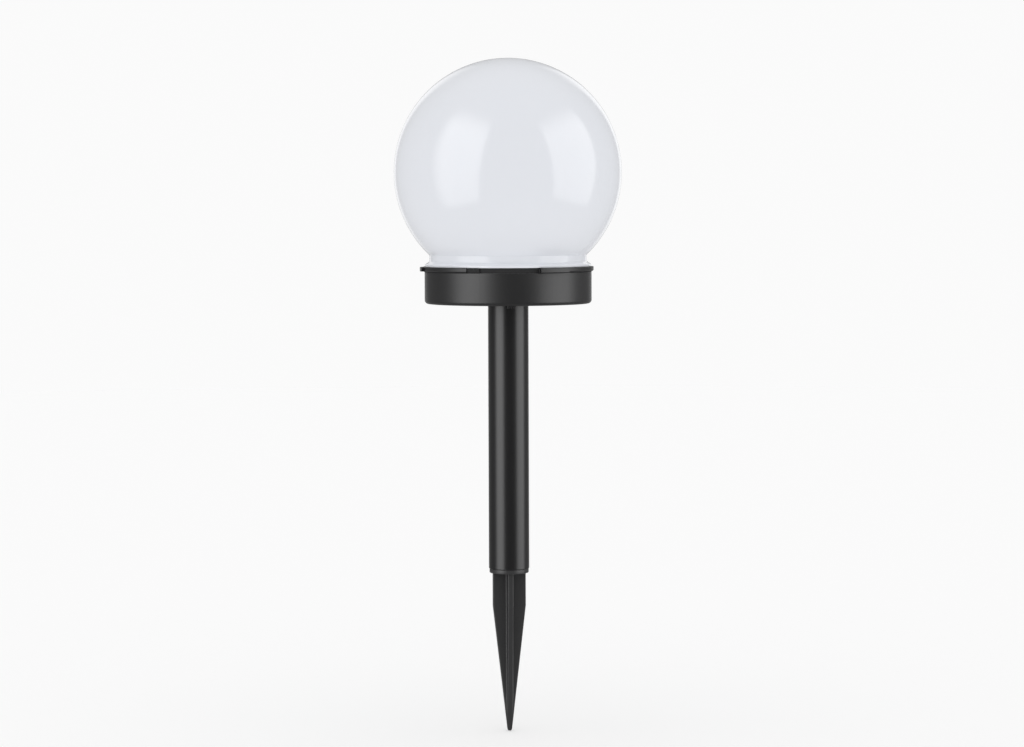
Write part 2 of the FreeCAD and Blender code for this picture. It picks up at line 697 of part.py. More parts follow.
def make_seals():
    """The O-ring between deck and cup, and the flat ring under the globe's flange."""
    cup_seal = doc.addObject("Part::Torus", "cup_seal")
    cup_seal.Label = "cup_seal"
    bind(cup_seal, "Radius1", "oring_seat + oring_radius")
    bind(cup_seal, "Radius2", "oring_radius")
    place(cup_seal, z="%s + oring_lift + oring_radius" % DECK_FOOT)

    body = new_body("globe_seal")
    profile = new_sketch(body, "SealProfile", "XZ_Plane")
    rectangle(
        profile,
        "globe_groove + fit_gap",
        "globe_groove + groove_width - fit_gap",
        RING_TOP + " - groove_depth",
        RING_TOP,
    )
    revolve(body, profile, "Seal")


# ------------------------------------------------------------------ globe


def make_globe():
    """Hollow ball open at the neck, with a flange that covers the ring and a bayonet skirt."""
    body = new_body("globe")
    inside = "globe_radius - globe_wall"
    neck_inner = "neck_radius - globe_wall"
    web = RING_TOP + " + flange_web"
    soft = "edge_break / 2"
    profile = new_sketch(body, "GlobeProfile", "XZ_Plane")
    outline(profile, [
        ("skirt_inner", SKIRT_FOOT),
        ("skirt_outer", SKIRT_FOOT),
        ("skirt_outer", RING_TOP),
        ("flange_radius - " + soft, RING_TOP),
        ("flange_radius", "%s + %s" % (RING_TOP, soft)),
        ("flange_radius", RING_TOP + " + flange_edge"),
        ("neck_radius", RING_TOP + " + flange_height"),
        (
            "neck_radius",
            "%s - sqrt(globe_radius ^ 2 - neck_radius ^ 2)" % GLOBE_CENTRE,
            "globe_radius",
            "left",
        ),
        ("0", GLOBE_CENTRE + " + globe_radius"),
        ("0", "%s + %s" % (GLOBE_CENTRE, inside), inside, "right"),
        (neck_inner, "%s - sqrt((%s) ^ 2 - (%s) ^ 2)" % (GLOBE_CENTRE, inside, neck_inner)),
        (neck_inner, web),
        ("skirt_inner", web),
    ])
    revolve(body, profile, "Ball")
    lug = new_sketch(body, "LugOutline", lift=SKIRT_FOOT + " + lug_lift")
    sector(lug, "skirt_outer - " + BURY, "lug_radius", "lug_turn", "lug_span")
    around(body, pad(body, lug, "Lug", "lug_height"), "Lugs", THREE_WAYS)


# ------------------------------------------------------------------ board, lamps and panel


def lamp_legs(sketch, radius):
    """Two leg circles for each of the two lamps beside the +X axis."""
    for side in ("-", ""):
        angle = side + "lamp_spread"
        for leg in ("-leg_half", "leg_half"):
            across = "lamp_circle * cos(%s) - (%s) * sin(%s)" % (angle, leg, angle)
            along = "lamp_circle * sin(%s) + (%s) * cos(%s)" % (angle, leg, angle)
            circle(sketch, across, along, radius)


def make_board():
    body = new_body("circuit_board")
    face = new_sketch(body, "BoardOutline", lift=BOARD_UNDER)
    circle(face, "0", "0", "board_radius")
    board_holes(face, "board_shank + screw_spare")
    pad(body, face, "Board", "board_thick")
    legs = new_sketch(body, "LegCircles", lift=BOARD_TOP)
    lamp_legs(legs, "leg_hole")
    around(body, pocket(body, legs, "LegHoles", "board_thick"), "AllLegHoles", FOUR_WAYS)


def make_lamps():
    """Eight round lamps that look up through the deck, and all their legs."""
    for number in range(2 * FOUR_WAYS):
        body = new_body("lamp_%d" % (number + 1))
        profile = new_sketch(body, "LampProfile", "XZ_Plane")
        outline(profile, [
            ("0", "0"),
            ("lamp_flange", "0"),
            ("lamp_flange", "lamp_flange_height"),
            ("lamp_radius", "lamp_flange_height"),
            ("lamp_radius", "lamp_height - lamp_radius", "lamp_radius", "left"),
            ("0", "lamp_height"),
        ])
        revolve(body, profile, "Lamp")
        quarter = 360 // FOUR_WAYS * (number // 2)
        angle = "(%d %s lamp_spread)" % (quarter, "+" if number % 2 else "-")
        place(body, "lamp_circle * cos%s" % angle, "lamp_circle * sin%s" % angle, BOARD_TOP)

    body = new_body("lamp_legs")
    body.AllowCompound = True
    legs = new_sketch(body, "LegCircles", lift=BOARD_TOP + " - leg_length")
    lamp_legs(legs, "leg_radius")
    around(body, pad(body, legs, "Legs", "leg_length"), "AllLegs", FOUR_WAYS)


def make_components():
    """The driver parts that hang under the circuit board."""
    new_box(
        "driver_chip",
        ("chip_x", "chip_y", BOARD_UNDER + " - chip_tall"),
        ("chip_x + chip_long", "chip_y + chip_wide", BOARD_UNDER),
    )
    # Each is turned about a vertical axis: how wide the waist is, and where it starts and ends, as
    # fractions of the part's own radius and height, measured down from the board.
    for label, waist, waist_start, waist_end in (
        ("inductor", 0.7, 0.25, 0.75),
        ("capacitor", 0.92, 0.2, 0.28),
        ("resistor", 0.8, 0.3, 0.7),
    ):
        radius, tall = label + "_radius", label + "_tall"
        body = new_body(label)
        profile = new_sketch(body, "TurnedProfile", "XZ_Plane")
        outline(profile, [
            ("0", "-" + tall),
            (radius, "-" + tall),
            (radius, "-%s * %g" % (tall, waist_end)),
            ("%s * %g" % (radius, waist), "-%s * %g" % (tall, waist_end)),
            ("%s * %g" % (radius, waist), "-%s * %g" % (tall, waist_start)),
            (radius, "-%s * %g" % (tall, waist_start)),
            (radius, "0"),
            ("0", "0"),
        ])
        revolve(body, profile, "Turned")
        place(body, label + "_x", label + "_y", BOARD_UNDER)


def make_panel():
    """Foam pad, base board, four solar cells and the clear resin over them."""
    body = new_body("panel_pad")
    face = new_sketch(body, "PadOutline", lift=PANEL_FLOOR)
    rectangle(face, "-panel_half", "panel_half", "-panel_half", "panel_half")
    lead_holes(face)
    pad(body, face, "Pad", "pad_thick")

    half = "panel_half"
    new_box("panel_board", ("-" + half, "-" + half, PANEL_BOARD), (half, half, PANEL_CELLS))

    def strip(number):
        middle = "(%g * panel_cell_pitch)" % (number - (FOUR_WAYS - 1) / 2)
        return middle + " - panel_cell_wide / 2", middle + " + panel_cell_wide / 2"

    cover = new_body("panel_cover")
    face = new_sketch(cover, "CoverOutline", lift=PANEL_CELLS)
    rectangle(face, "-" + half, half, "-" + half, half)
    pad(cover, face, "Cover", "panel_cover")
    cells = new_sketch(cover, "CellOutlines", lift=PANEL_CELLS)
    for number in range(FOUR_WAYS):
        left, right = strip(number)
        rectangle(cells, left, right, "-panel_cell_half", "panel_cell_half")
        new_box(
            "solar_cell_%d" % (number + 1),
            (left, "-panel_cell_half", PANEL_CELLS),
            (right, "panel_cell_half", PANEL_CELLS + " + panel_cell_thick"),
        )
    pocket(cover, cells, "CellPockets", "panel_cell_thick", upward=True)
    crown = size_of(PANEL_CELLS + " + panel_cover")
    round_edges(
        cover,
        "CoverBevel",
        "edge_break",
        lambda edge: abs(edge.CenterOfMass.z - crown) < 0.01,
        "PartDesign::Chamfer",
    )

    for label, side in (("panel_lead_red", ""), ("panel_lead_black", "-")):
        new_cylinder(label, "lead_radius", side + "panel_lead_x", "panel_lead_y", BOARD_TOP, PANEL_BOARD)


# ------------------------------------------------------------------ battery


def make_battery():
    low_end = "cell_shift - cell_length / 2"
    high_end = "cell_shift + cell_length / 2"
    can = "cell_radius - sleeve_thick - fit_gap / 2"
    shoulder = high_end + " - nub_height"

    body = new_body("battery_can")
    profile = new_sketch(body, "CanProfile", "XZ_Plane", rise=CELL_AXIS)
    outline(profile, [
        (low_end, "0"),
        (low_end, can + " - can_round"),
        (low_end + " + can_round", can),
        (shoulder + " - can_round", can),
        (shoulder, can + " - can_round"),
        (shoulder, "nub_radius"),
        (high_end, "nub_radius"),
        (high_end, "0"),
    ])
    revolve(body, profile, "Can", "H_Axis")

    body = new_body("battery_sleeve")
    profile = new_sketch(body, "SleeveProfile", "XZ_Plane", rise=CELL_AXIS)
    rectangle(
        profile,
        low_end + " + sleeve_inset",
        shoulder + " - sleeve_inset",
        "cell_radius - sleeve_thick",
        "cell_radius",
    )
    revolve(body, profile, "Sleeve", "H_Axis")

    body = new_body("battery_spring")
    wire = new_sketch(body, "SpringWire", "XZ_Plane", rise=CELL_AXIS)
    start = "contact_thick + spring_wire + fit_gap - contact_reach"
    circle(wire, start, "spring_coil", "spring_wire")
    coil = body.newObject("PartDesign::AdditiveHelix", "Coil")
    coil.Profile = wire
    coil.ReferenceAxis = (wire, ["H_Axis"])
    coil.Mode = "pitch-height-angle"
    bind(coil, "Pitch", "spring_pitch")
    bind(coil, "Height", "%s - (%s) - spring_wire - fit_gap" % (low_end, start))

    plate_low = FLOOR + " + tray_thick"
    plate_high = FLOOR + " + tray_thick + contact_height"
    for label, near, far in (
        ("contact_plate_minus", "-contact_reach", "contact_thick - contact_reach"),
        ("contact_plate_plus", "contact_reach - contact_thick", "contact_reach"),
    ):
        new_box(label, (near, "-contact_half", plate_low), (far, "contact_half", plate_high))


# ------------------------------------------------------------------ leads


def make_pipe(label, route_plane, route_lift, route, start_plane, start_lift, start):
    """A round lead swept along lines and tangent arcs drawn in one plane."""
    body = new_body(label)
    path = new_sketch(body, "Route", route_plane, lift=route_lift)
    outline(path, route, closed=False)
    section = new_sketch(body, "Section", start_plane, lift=start_lift)
    circle(section, start[0], start[1], "lead_radius")
    pipe = body.newObject("PartDesign::AdditivePipe", "Lead")
    pipe.Profile = section
    pipe.Spine = (path, [])
    return body


def make_battery_leads():
    """From each contact plate's outer face, along it and up to the circuit board."""
    reach = "contact_reach + lead_radius + fit_gap"
    level = FLOOR + " + battery_lead_z"
    route = [
        ("-battery_lead_start", level),
        ("battery_lead_turn", level, "battery_bend", "left"),
        ("battery_lead_turn + battery_bend", level + " + battery_bend"),
        ("battery_lead_turn + battery_bend", BOARD_UNDER),
    ]
    for label, side in (("battery_lead_red", ""), ("battery_lead_black", "-")):
        across = "%s(%s)" % (side, reach)
        make_pipe(label, "YZ_Plane", across, route, "XZ_Plane", "battery_lead_start", (across, level))


def make_switch_leads():
    """From two switch terminals, with a double bend, up to the circuit board."""
    start = "%s + terminal_rise" % SWITCH_TOP
    bend_low = "%s + lead_straight" % start
    half_turn = 60
    for label, terminal, sign, first, second in (
        ("switch_lead_red", "-terminal_pitch", "-", "left", "right"),
        ("switch_lead_black", "0", "+", "right", "left"),
    ):
        shift = "%s %s lead_bend * (1 - cos(%d))" % (terminal, sign, half_turn)
        far = "%s %s 2 * lead_bend * (1 - cos(%d))" % (terminal, sign, half_turn)
        climb = "lead_bend * sin(%d)" % half_turn
        route = [
            (terminal, start),
            (terminal, bend_low, "lead_bend", first),
            (shift, "%s + %s" % (bend_low, climb), "lead_bend", second),
            (far, "%s + 2 * %s" % (bend_low, climb)),
            (far, BOARD_UNDER),
        ]
        make_pipe(label, "XZ_Plane", "switch_reach", route, "XY_Plane", start, (terminal, "-switch_reach"))


# ------------------------------------------------------------------ switch


def make_switch():
    """Slide switch on the cup floor, its knob reaching down through the slot."""
    front = "-switch_reach"
    body = new_body("switch_frame")
    face = new_sketch(body, "FrameOutline", lift=FLOOR, rise=front)
    rectangle(face, "-frame_half_x", "frame_half_x", "-frame_half_y", "frame_half_y")
    rectangle(face, "-slot_half_x", "slot_half_x", "-slot_half_y", "slot_half_y")
    for side in ("-", ""):
        circle(face, side + "switch_screw_x", "0", "switch_shank + screw_spare")
    pad(body, face, "Frame", "frame_thick")

    body = new_body("switch_body")
    face = new_sketch(body, "BodyOutline", lift=SWITCH_FOOT, rise=front)
    rectangle(face, "-switch_half_x", "switch_half_x", "-switch_half_y", "switch_half_y")
    pad(body, face, "Block", "switch_height")
    track = new_sketch(body, "TrackOutline", lift=SWITCH_FOOT, rise=front)
    track_x = "(stem_half + switch_travel / 2 + 4 * fit_gap)"
    track_y = "(stem_half + 2 * fit_gap)"
    rectangle(track, "-" + track_x, track_x, "-" + track_y, track_y)
    pocket(body, track, "Track", "stem_rise + 4 * fit_gap", upward=True)

    for number in range(THREE_WAYS):
        middle = "(%d * terminal_pitch)" % (number - 1)
        new_box(
            "switch_terminal_%d" % (number + 1),
            (middle + " - terminal_half", front + " - terminal_thick / 2", SWITCH_TOP),
            (middle + " + terminal_half", front + " + terminal_thick / 2", SWITCH_TOP + " + terminal_rise"),
        )

    body = new_body("switch_knob")
    rest = "-switch_travel / 2"
    thumb = new_sketch(body, "ThumbOutline", lift=TUBE_TOP + " - thumb_proud", rise=front)
    rectangle(thumb, rest + " - thumb_half_x", rest + " + thumb_half_x", "-thumb_half_y", "thumb_half_y")
    pad(body, thumb, "Thumb", "thumb_proud + cup_wall")
    stem = new_sketch(body, "StemOutline", lift=FLOOR, rise=front)
    rectangle(stem, rest + " - stem_half", rest + " + stem_half", "-stem_half", "stem_half")
    pad(body, stem, "Stem", "frame_thick + stem_rise")
    grip = new_sketch(body, "GripOutline", lift=TUBE_TOP + " - thumb_proud", rise=front)
    for number in (-1, 0, 1):
        middle = "%s + %d * grip_pitch" % (rest, number)
        sides = (middle + " - rib_width / 6", middle + " + rib_width / 6")
        rectangle(grip, *sides, "-2 * thumb_half_y", "2 * thumb_half_y")
    pocket(body, grip, "GripGrooves", "edge_break", upward=True)


# ------------------------------------------------------------------ screws


def make_screw(name, kind, x, y, z, head_up=False):
    """A pan-head screw with a cross recess, its head's flat face at the given point."""
    head, tall = kind + "_head", kind + "_head_tall"
    shank, length = kind + "_shank", kind + "_length"
    body = new_body(name)
    profile = new_sketch(body, "ScrewProfile", "XZ_Plane")
    outline(profile, [
        ("0", "-" + tall),
        (head + " - edge_break", "-" + tall),
        (head, "edge_break - " + tall),
        (head, "0"),
        (shank, "0"),
        (shank, length + " - edge_break"),
        (shank + " - edge_break", length),
        ("0", length),
    ])
    revolve(body, profile, "Screw")
    cross = new_sketch(body, "CrossOutline", lift="-" + tall)
    long, thin = head + " * cross_reach", head + " * cross_slot"
    outline(cross, [
        ("-" + long, "-" + thin),
        ("-" + thin, "-" + thin),
        ("-" + thin, "-" + long),
        (thin, "-" + long),
        (thin, "-" + thin),
        (long, "-" + thin),
        (long, thin),
        (thin, thin),
        (thin, long),
        ("-" + thin, long),
        ("-" + thin, thin),
        ("-" + long, thin),
    ])
    pocket(body, cross, "CrossRecess", tall + " / 2", upward=True)
    if head_up:
        body.Placement.Rotation = FreeCAD.Rotation(Vector(1, 0, 0), 180)
    place(body, x, y, z)
    return body


def make_screws():
    """Three sets: housing screws from below, board screws from below, switch screws from above."""
    housing = []
    for number in range(THREE_WAYS):
        angle = 90 + 360 // THREE_WAYS * number
        x, y = "screw_circle * cos(%d)" % angle, "screw_circle * sin(%d)" % angle
        seat = TUBE_TOP + " + counterbore_depth"
        housing.append(make_screw("HousingScrew%d" % number, "housing", x, y, seat))
    new_set("housing_screws", housing)

    reach = "board_screw_reach"
    new_set("board_screws", [
        make_screw("BoardScrewLeft", "board", "-" + reach, reach, BOARD_UNDER),
        make_screw("BoardScrewRight", "board", reach, "-" + reach, BOARD_UNDER),
    ])
    places = {"SwitchScrewLeft": "-switch_screw_x", "SwitchScrewRight": "switch_screw_x"}
    new_set("switch_screws", [
        make_screw(name, "switch", x, "-switch_reach", SWITCH_FOOT, head_up=True)
        for name, x in places.items()
    ])


# ------------------------------------------------------------------ build, check and write


def sub_parts():
    """Every object that becomes a file: the bodies and Part solids, and each set in place of its members."""
    kinds = ("PartDesign::Body", "Part::Box", "Part::Cylinder", "Part::Torus", "Part::Compound")
    sets = [thing for thing in doc.Objects if thing.TypeId == "Part::Compound"]
    members = {member.Name for one_set in sets for member in one_set.Links}
    return [thing for thing in doc.Objects if thing.TypeId in kinds and thing.Name not in members]


def check_document():
    for thing in doc.Objects:
        if "Invalid" in thing.State or "Error" in thing.State:
            raise RuntimeError("%s did not rebuild: %s" % (thing.Label, thing.State))
        if thing.TypeId == "PartDesign::Pocket":
            removed = thing.BaseFeature.Shape.Volume - thing.Shape.Volume
            if removed < 1e-3:
                raise RuntimeError("%s cuts nothing" % thing.Name)
    for thing in sub_parts():
        if thing.Shape.isNull() or not thing.Shape.isValid():
            raise RuntimeError("%s has no valid shape" % thing.Label)


make_stake()
make_tube()
make_cup()
make_battery_tray()
make_deck()
make_seals()
make_globe()
make_board()
make_lamps()
make_components()
make_panel()
make_battery()
make_battery_leads()
make_switch()
make_switch_leads()
make_screws()
doc.recompute()
check_document()

os.makedirs("parts", exist_ok=True)
for sub_part in sub_parts():
    sub_part.Shape.exportStep("parts/%s.step" % sub_part.Label)
    print(sub_part.Label, len(sub_part.Shape.Solids), round(sub_part.Shape.Volume, 1))
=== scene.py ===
"""Solar garden light: an opal ball on a round black housing, a tube and a ground stake."""

import math

import bmesh
import bpy
from bpy.props import FloatProperty, FloatVectorProperty, IntProperty, PointerProperty
from bpy.types import Operator, Panel, PropertyGroup
from mathutils import Matrix, Quaternion, Vector


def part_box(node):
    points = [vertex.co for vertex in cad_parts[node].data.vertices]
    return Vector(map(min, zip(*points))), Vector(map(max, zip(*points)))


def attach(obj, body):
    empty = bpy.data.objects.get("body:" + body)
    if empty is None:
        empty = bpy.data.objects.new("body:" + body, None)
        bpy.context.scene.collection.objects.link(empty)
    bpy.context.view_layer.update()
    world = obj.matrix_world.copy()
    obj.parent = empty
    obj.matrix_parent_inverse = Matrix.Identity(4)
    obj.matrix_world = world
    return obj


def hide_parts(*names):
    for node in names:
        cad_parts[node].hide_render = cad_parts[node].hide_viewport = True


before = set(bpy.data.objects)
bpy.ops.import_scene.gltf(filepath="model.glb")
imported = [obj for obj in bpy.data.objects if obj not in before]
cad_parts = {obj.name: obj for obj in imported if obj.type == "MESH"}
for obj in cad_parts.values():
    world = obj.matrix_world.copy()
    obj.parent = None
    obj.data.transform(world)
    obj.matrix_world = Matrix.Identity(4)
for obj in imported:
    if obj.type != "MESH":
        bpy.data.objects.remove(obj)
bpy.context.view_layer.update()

bl_info = {
    "name": "Solar Garden Light",
    "version": (1, 0, 0),
    "blender": (4, 5, 0),
    "location": "3D View > Sidebar > Garden Light",
    "description": "Builds a solar garden light round its packed frame, with its studio",
    "category": "Add Mesh",
}

MM = 0.001
THREE_WAYS = [math.radians(120 * turn) for turn in range(3)]
SIX_WAYS = [math.radians(60 * turn) for turn in range(6)]
STEP_WIDTH = math.radians(0.04)
SHARP_ANGLE = math.radians(32)
SAME_POINT = 0.0005 * MM
OVERLAP = 0.5 * MM
SCREW_SUNK = 0.9 * MM
RIB_LEAD_IN = 0.8 * MM
SOLAR_CELLS = ["solar_cell_%d" % place for place in range(1, 5)]
LAMPS = ["lamp_%d" % place for place in range(1, 9)]


def reach(node):
    """Largest distance of a node's box from the upright axis, along X."""
    low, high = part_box(node)
    return max(abs(low.x), abs(high.x))


def foot(node):
    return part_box(node)[0].z


def top(node):
    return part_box(node)[1].z


# ---------------------------------------------------------------- sizes and colours


def number(name, description, default, **limits):
    return FloatProperty(name=name, description=description, default=default, **limits)


def length(name, description, default):
    return number(name, description, default, min=0.0, unit="LENGTH", precision=5)


def share(name, description, default):
    return number(name, description, default, min=0.0, max=1.0, subtype="FACTOR")


def turn(name, description, default):
    return number(name, description, math.radians(default), unit="ROTATION")


def colour(name, description, default):
    values = {"default": (*default, 1.0), "size": 4, "min": 0.0, "max": 1.0}
    return FloatVectorProperty(name=name, description=description, subtype="COLOR", **values)


def facets(description, default):
    return IntProperty(name="Segments", description=description, default=default, min=32)


class BallSettings(PropertyGroup):
    """Opal ball with its neck, flange and bayonet skirt."""

    wall: length("Wall", "Thickness of the ball and its neck", 1.4 * MM)
    neck_radius: length("Neck radius", "Outside of the neck", 34.3 * MM)
    flange_radius: length("Flange radius", "Outside of the flange on the ring", 36.25 * MM)
    flange_height: length("Flange height", "Top of the flange's slope above the ring", 2.2 * MM)
    flange_edge: length("Flange edge", "Upright edge of the flange", 1.0 * MM)
    web_height: length("Web height", "Plate between neck and skirt", 1.45 * MM)
    skirt_inner: length("Skirt bore", "Inside of the bayonet skirt", 29.8 * MM)
    skirt_outer: length("Skirt radius", "Outside of the bayonet skirt", 31.0 * MM)
    lug_radius: length("Lug radius", "Outside of the bayonet lugs", 32.6 * MM)
    lug_lift: length("Lug lift", "Lug above the foot of the skirt", 0.4 * MM)
    lug_height: length("Lug height", "Height of a lug", 1.8 * MM)
    lug_turn: turn("First lug", "Middle of the first lug when locked", -30.0)
    lug_span: turn("Lug span", "Width of a lug round the skirt", 20.0)
    segments: facets("Facets round the ball", 256)
    opal: colour("Opal", "Body colour of the ball", (0.768, 0.79, 0.838))
    opal_cloud: colour("Opal cloud", "Colour where the plastic is a little denser", (0.785, 0.80, 0.842))
    gloss: share("Roughness", "Roughness of the moulded ball", 0.11)


class HousingSettings(PropertyGroup):
    """Cup under the ball, with the knob's slot and the housing screws."""

    wall: length("Wall", "Cup wall and floor", 1.8 * MM)
    corner: length("Corner", "Rounding of the bottom corner", 1.6 * MM)
    lip: length("Rim rounding", "Rounding of the top rim", 0.25 * MM)
    spigot_radius: length("Spigot radius", "Outside of the spigot in the tube", 7.1 * MM)
    spigot_bore: length("Spigot bore", "Inside of the spigot", 5.9 * MM)
    rib_radius: length("Rib radius", "Outside of the grip ribs on the spigot", 7.65 * MM)
    rib_width: length("Rib width", "Width of a grip rib", 1.0 * MM)
    screw_circle: length("Screw circle", "Radius of the three housing screws", 30.3 * MM)
    boss_radius: length("Boss radius", "Screw bosses on the floor", 3.6 * MM)
    boss_height: length("Boss height", "Screw bosses above the floor", 2.7 * MM)
    counterbore_radius: length("Counterbore radius", "Counterbore of a screw", 2.6 * MM)
    counterbore_depth: length("Counterbore depth", "Counterbore of a screw", 2.6 * MM)
    screw_hole: length("Screw hole", "Radius of the hole for the shank", 1.4 * MM)
    slot_reach: length("Slot reach", "Knob slot in front of the axis", 22.0 * MM)
    slot_half_x: length("Slot half length", "Half the length of the knob slot", 3.2 * MM)
    slot_half_y: length("Slot half width", "Half the width of the knob slot", 1.65 * MM)
    segments: facets("Facets round the cup", 192)
    cup_black: colour("Cup black", "Colour of the cup", (0.0085, 0.0085, 0.0095))
    ring_black: colour("Ring black", "Colour of the ring and deck", (0.0085, 0.0085, 0.0095))
    cup_roughness: share("Cup roughness", "Satin finish of the cup", 0.4)


class StemSettings(PropertyGroup):
    """Tube between the stake and the housing."""

    bore: length("Bore", "Inside of the tube", 7.7 * MM)
    edge: length("Edge rounding", "Rounding of the cut ends", 0.2 * MM)
    segments: facets("Facets round the tube", 128)
    tube_black: colour("Tube black", "Colour of the tube", (0.005, 0.005, 0.0058))
    tube_roughness: share("Tube roughness", "Finish of the drawn tube", 0.3)


class StakeSettings(PropertyGroup):
    """Collar, spigot and four tapering fins that go in the ground."""

    collar_radius: length("Collar radius", "Outside of the collar", reach("ground_stake"))
    collar_height: length("Collar height", "Thickness of the collar", 2.0 * MM)
    collar_edge: length("Collar rounding", "Rounding of the collar edges", 0.45 * MM)
    fin_half: length("Fin reach", "Fin tip from the axis", 7.25 * MM)
    fin_thick: length("Fin thickness", "Thickness of a fin", 2.4 * MM)
    fin_straight: length("Straight length", "Parallel part of the fins", 14.5 * MM)
    fin_edge: length("Fin rounding", "Rounding of the fin edges", 0.6 * MM)
    fin_root: length("Fin root", "Hollow rounding where two fins meet", 0.6 * MM)
    tip_radius: length("Tip radius", "Rounding of the tip", 1.0 * MM)
    stake_black: colour("Stake black", "Colour of the stake", (0.034, 0.034, 0.035))
    stake_roughness: share("Stake roughness", "Finish of the stake", 0.34)


class FittingsSettings(PropertyGroup):
    """Colours of the parts inside the housing and of the screws."""

    cell_blue: colour("Solar cell", "Silicon of the solar cells", (0.006, 0.012, 0.05))
    laminate: colour("Board green", "Circuit board laminate", (0.01, 0.09, 0.035))
    panel_laminate: colour("Panel white", "Board under the solar cells", (0.62, 0.63, 0.6))
    film: colour("Battery film", "Sleeve of the cell", (0.02, 0.16, 0.07))
    film_band: colour("Battery band", "Band on the sleeve", (0.55, 0.56, 0.55))
    steel: colour("Steel", "Plated steel", (0.56, 0.56, 0.55))
    brass: colour("Spring steel", "Nickel plated contacts", (0.6, 0.58, 0.54))
    lamp: colour("Lamp epoxy", "Clear lamp bodies", (0.86, 0.86, 0.82))
    red: colour("Red lead", "Positive leads", (0.42, 0.02, 0.015))
    black: colour("Black lead", "Negative leads", (0.012, 0.012, 0.012))
    rubber: colour("Seal", "Silicone seals", (0.06, 0.06, 0.062))


class StudioSettings(PropertyGroup):
    """Camera, floor and soft lights."""

    camera_turn: turn("Camera turn", "Camera round the light, from the front", -6.0)
    camera_tilt: turn("Camera tilt", "Camera looking down", 3.37)
    camera_distance: length("Camera distance", "Level distance from the axis", 1.261)
    camera_height: length("Camera height", "Camera above the origin", 0.1616)
    camera_side: length("Camera side step", "Camera to the right of the axis", 0.00155)
    camera_roll: turn("Camera roll", "Camera turned about its view, clockwise", 0.2)
    lens: number("Lens", "Focal length", 101.64, unit="CAMERA")
    floor_radius: length("Floor radius", "Round pale floor", 2.4)
    floor_white: colour("Floor", "Pale floor", (0.86, 0.86, 0.86))
    backdrop: share("Backdrop", "What the camera sees behind the light", 0.96)
    floor_dim: share("Floor dimming", "How much less of the floor the camera sees", 0.04)
    floor_glow: number("Floor glow", "Lift that keeps the floor even", 0.14)
    light_reach: length("Light reach", "Soft lights from the ball", 1.0)
    light_rise: turn("Light rise", "Height of the lights' middle, seen from the ball", 13.5)
    sky: number("Sky", "Even light from all round", 1.0)
    front_dark: share("Front", "What gloss sees in front, in the dark of the studio", 0.16)
    back_bright: share("Back", "What gloss sees behind", 0.28)
    floor_bright: share("Floor in gloss", "What gloss sees well below the light", 0.2)
    top_bright: share("Ceiling in gloss", "What gloss sees overhead", 0.2)


def light_fields(middle, width, strength, low, high, fades):
    """Fields of one soft light; fades are the soft edges at its left, right, foot and top."""
    left, right, below, above = fades
    return {
        "middle": turn("Middle", "Middle of the light, from the camera's side", middle),
        "width": length("Width", "Width of the light", width),
        "strength": number("Strength", "Brightness of the light", strength),
        "low": length("Foot", "Foot of the light below its middle", low),
        "high": length("Top", "Top of the light above its middle", high),
        "left_fade": length("Left fade", "Soft edge on the left", left),
        "right_fade": length("Right fade", "Soft edge on the right", right),
        "low_fade": length("Foot fade", "Soft edge at the foot", below),
        "high_fade": length("Top fade", "Soft edge at the top", above),
        "rise": number("Rise", "Share it gains per metre of height", 0.3),
    }


class LeftLightSettings(PropertyGroup):
    """Tall soft light on the camera's left."""

    __annotations__ = light_fields(-55.0, 1.11, 2.85, 1.04, 1.0, (0.35, 0.03, 0.25, 0.6))


class RightLightSettings(PropertyGroup):
    """Tall soft light on the camera's right."""

    __annotations__ = light_fields(72.0, 1.07, 2.45, 0.86, 0.84, (0.04, 0.1, 0.18, 0.5))


class BackLeftLightSettings(PropertyGroup):
    """Narrow soft light behind, on the left."""

    __annotations__ = light_fields(-161.0, 0.36, 0.8, 0.8, 0.5, (0.1, 0.1, 0.5, 0.4))


class BackRightLightSettings(PropertyGroup):
    """Narrow soft light behind, on the right."""

    __annotations__ = light_fields(161.0, 0.36, 0.9, 0.8, 0.5, (0.1, 0.1, 0.5, 0.4))


SETTINGS = {
    "garden_ball": BallSettings,
    "garden_housing": HousingSettings,
    "garden_stem": StemSettings,
    "garden_stake": StakeSettings,
    "garden_fittings": FittingsSettings,
    "garden_studio": StudioSettings,
    "garden_left_light": LeftLightSettings,
    "garden_right_light": RightLightSettings,
    "garden_back_left_light": BackLeftLightSettings,
    "garden_back_right_light": BackRightLightSettings,
}


# ---------------------------------------------------------------- meshes


def softened(corners, steps=5):
    """Closed outline from (across, up, rounding) corners, with each rounded corner as an arc."""
    points = []
    count = len(corners)
    for index, (across, up, rounding) in enumerate(corners):
        here = Vector((across, up))
        if not rounding:
            points.append(here)
            continue
        before = Vector(corners[index - 1][:2]) - here
        after = Vector(corners[(index + 1) % count][:2]) - here
        half = before.angle(after) / 2
        back = min(rounding / math.tan(half), 0.49 * before.length, 0.49 * after.length)
        radius = back * math.tan(half)
        centre = here + (before.normalized() + after.normalized()).normalized() * radius / math.sin(half)
        start = here + before.normalized() * back - centre
        end = here + after.normalized() * back - centre
        sweep = start.angle_signed(end)
        for step in range(steps + 1):
            points.append(centre + Matrix.Rotation(-sweep * step / steps, 2) @ start)
    return points


def arc(centre_up, radius, start, end, steps):
    """Points of an arc about a centre on the axis, angles from the level."""
    points = []
    for step in range(steps + 1):
        angle = start + (end - start) * step / steps
        points.append(Vector((max(radius * math.cos(angle), 0.0), centre_up + radius * math.sin(angle))))
    return points


def within(angle, middle, span):
    """Whether an angle is in a sector, in radians."""
    return abs(math.remainder(angle - middle, math.tau)) < span / 2


def sector_edges(middles, span):
    return [middle + side * span / 2 for middle in middles for side in (-1, 1)]


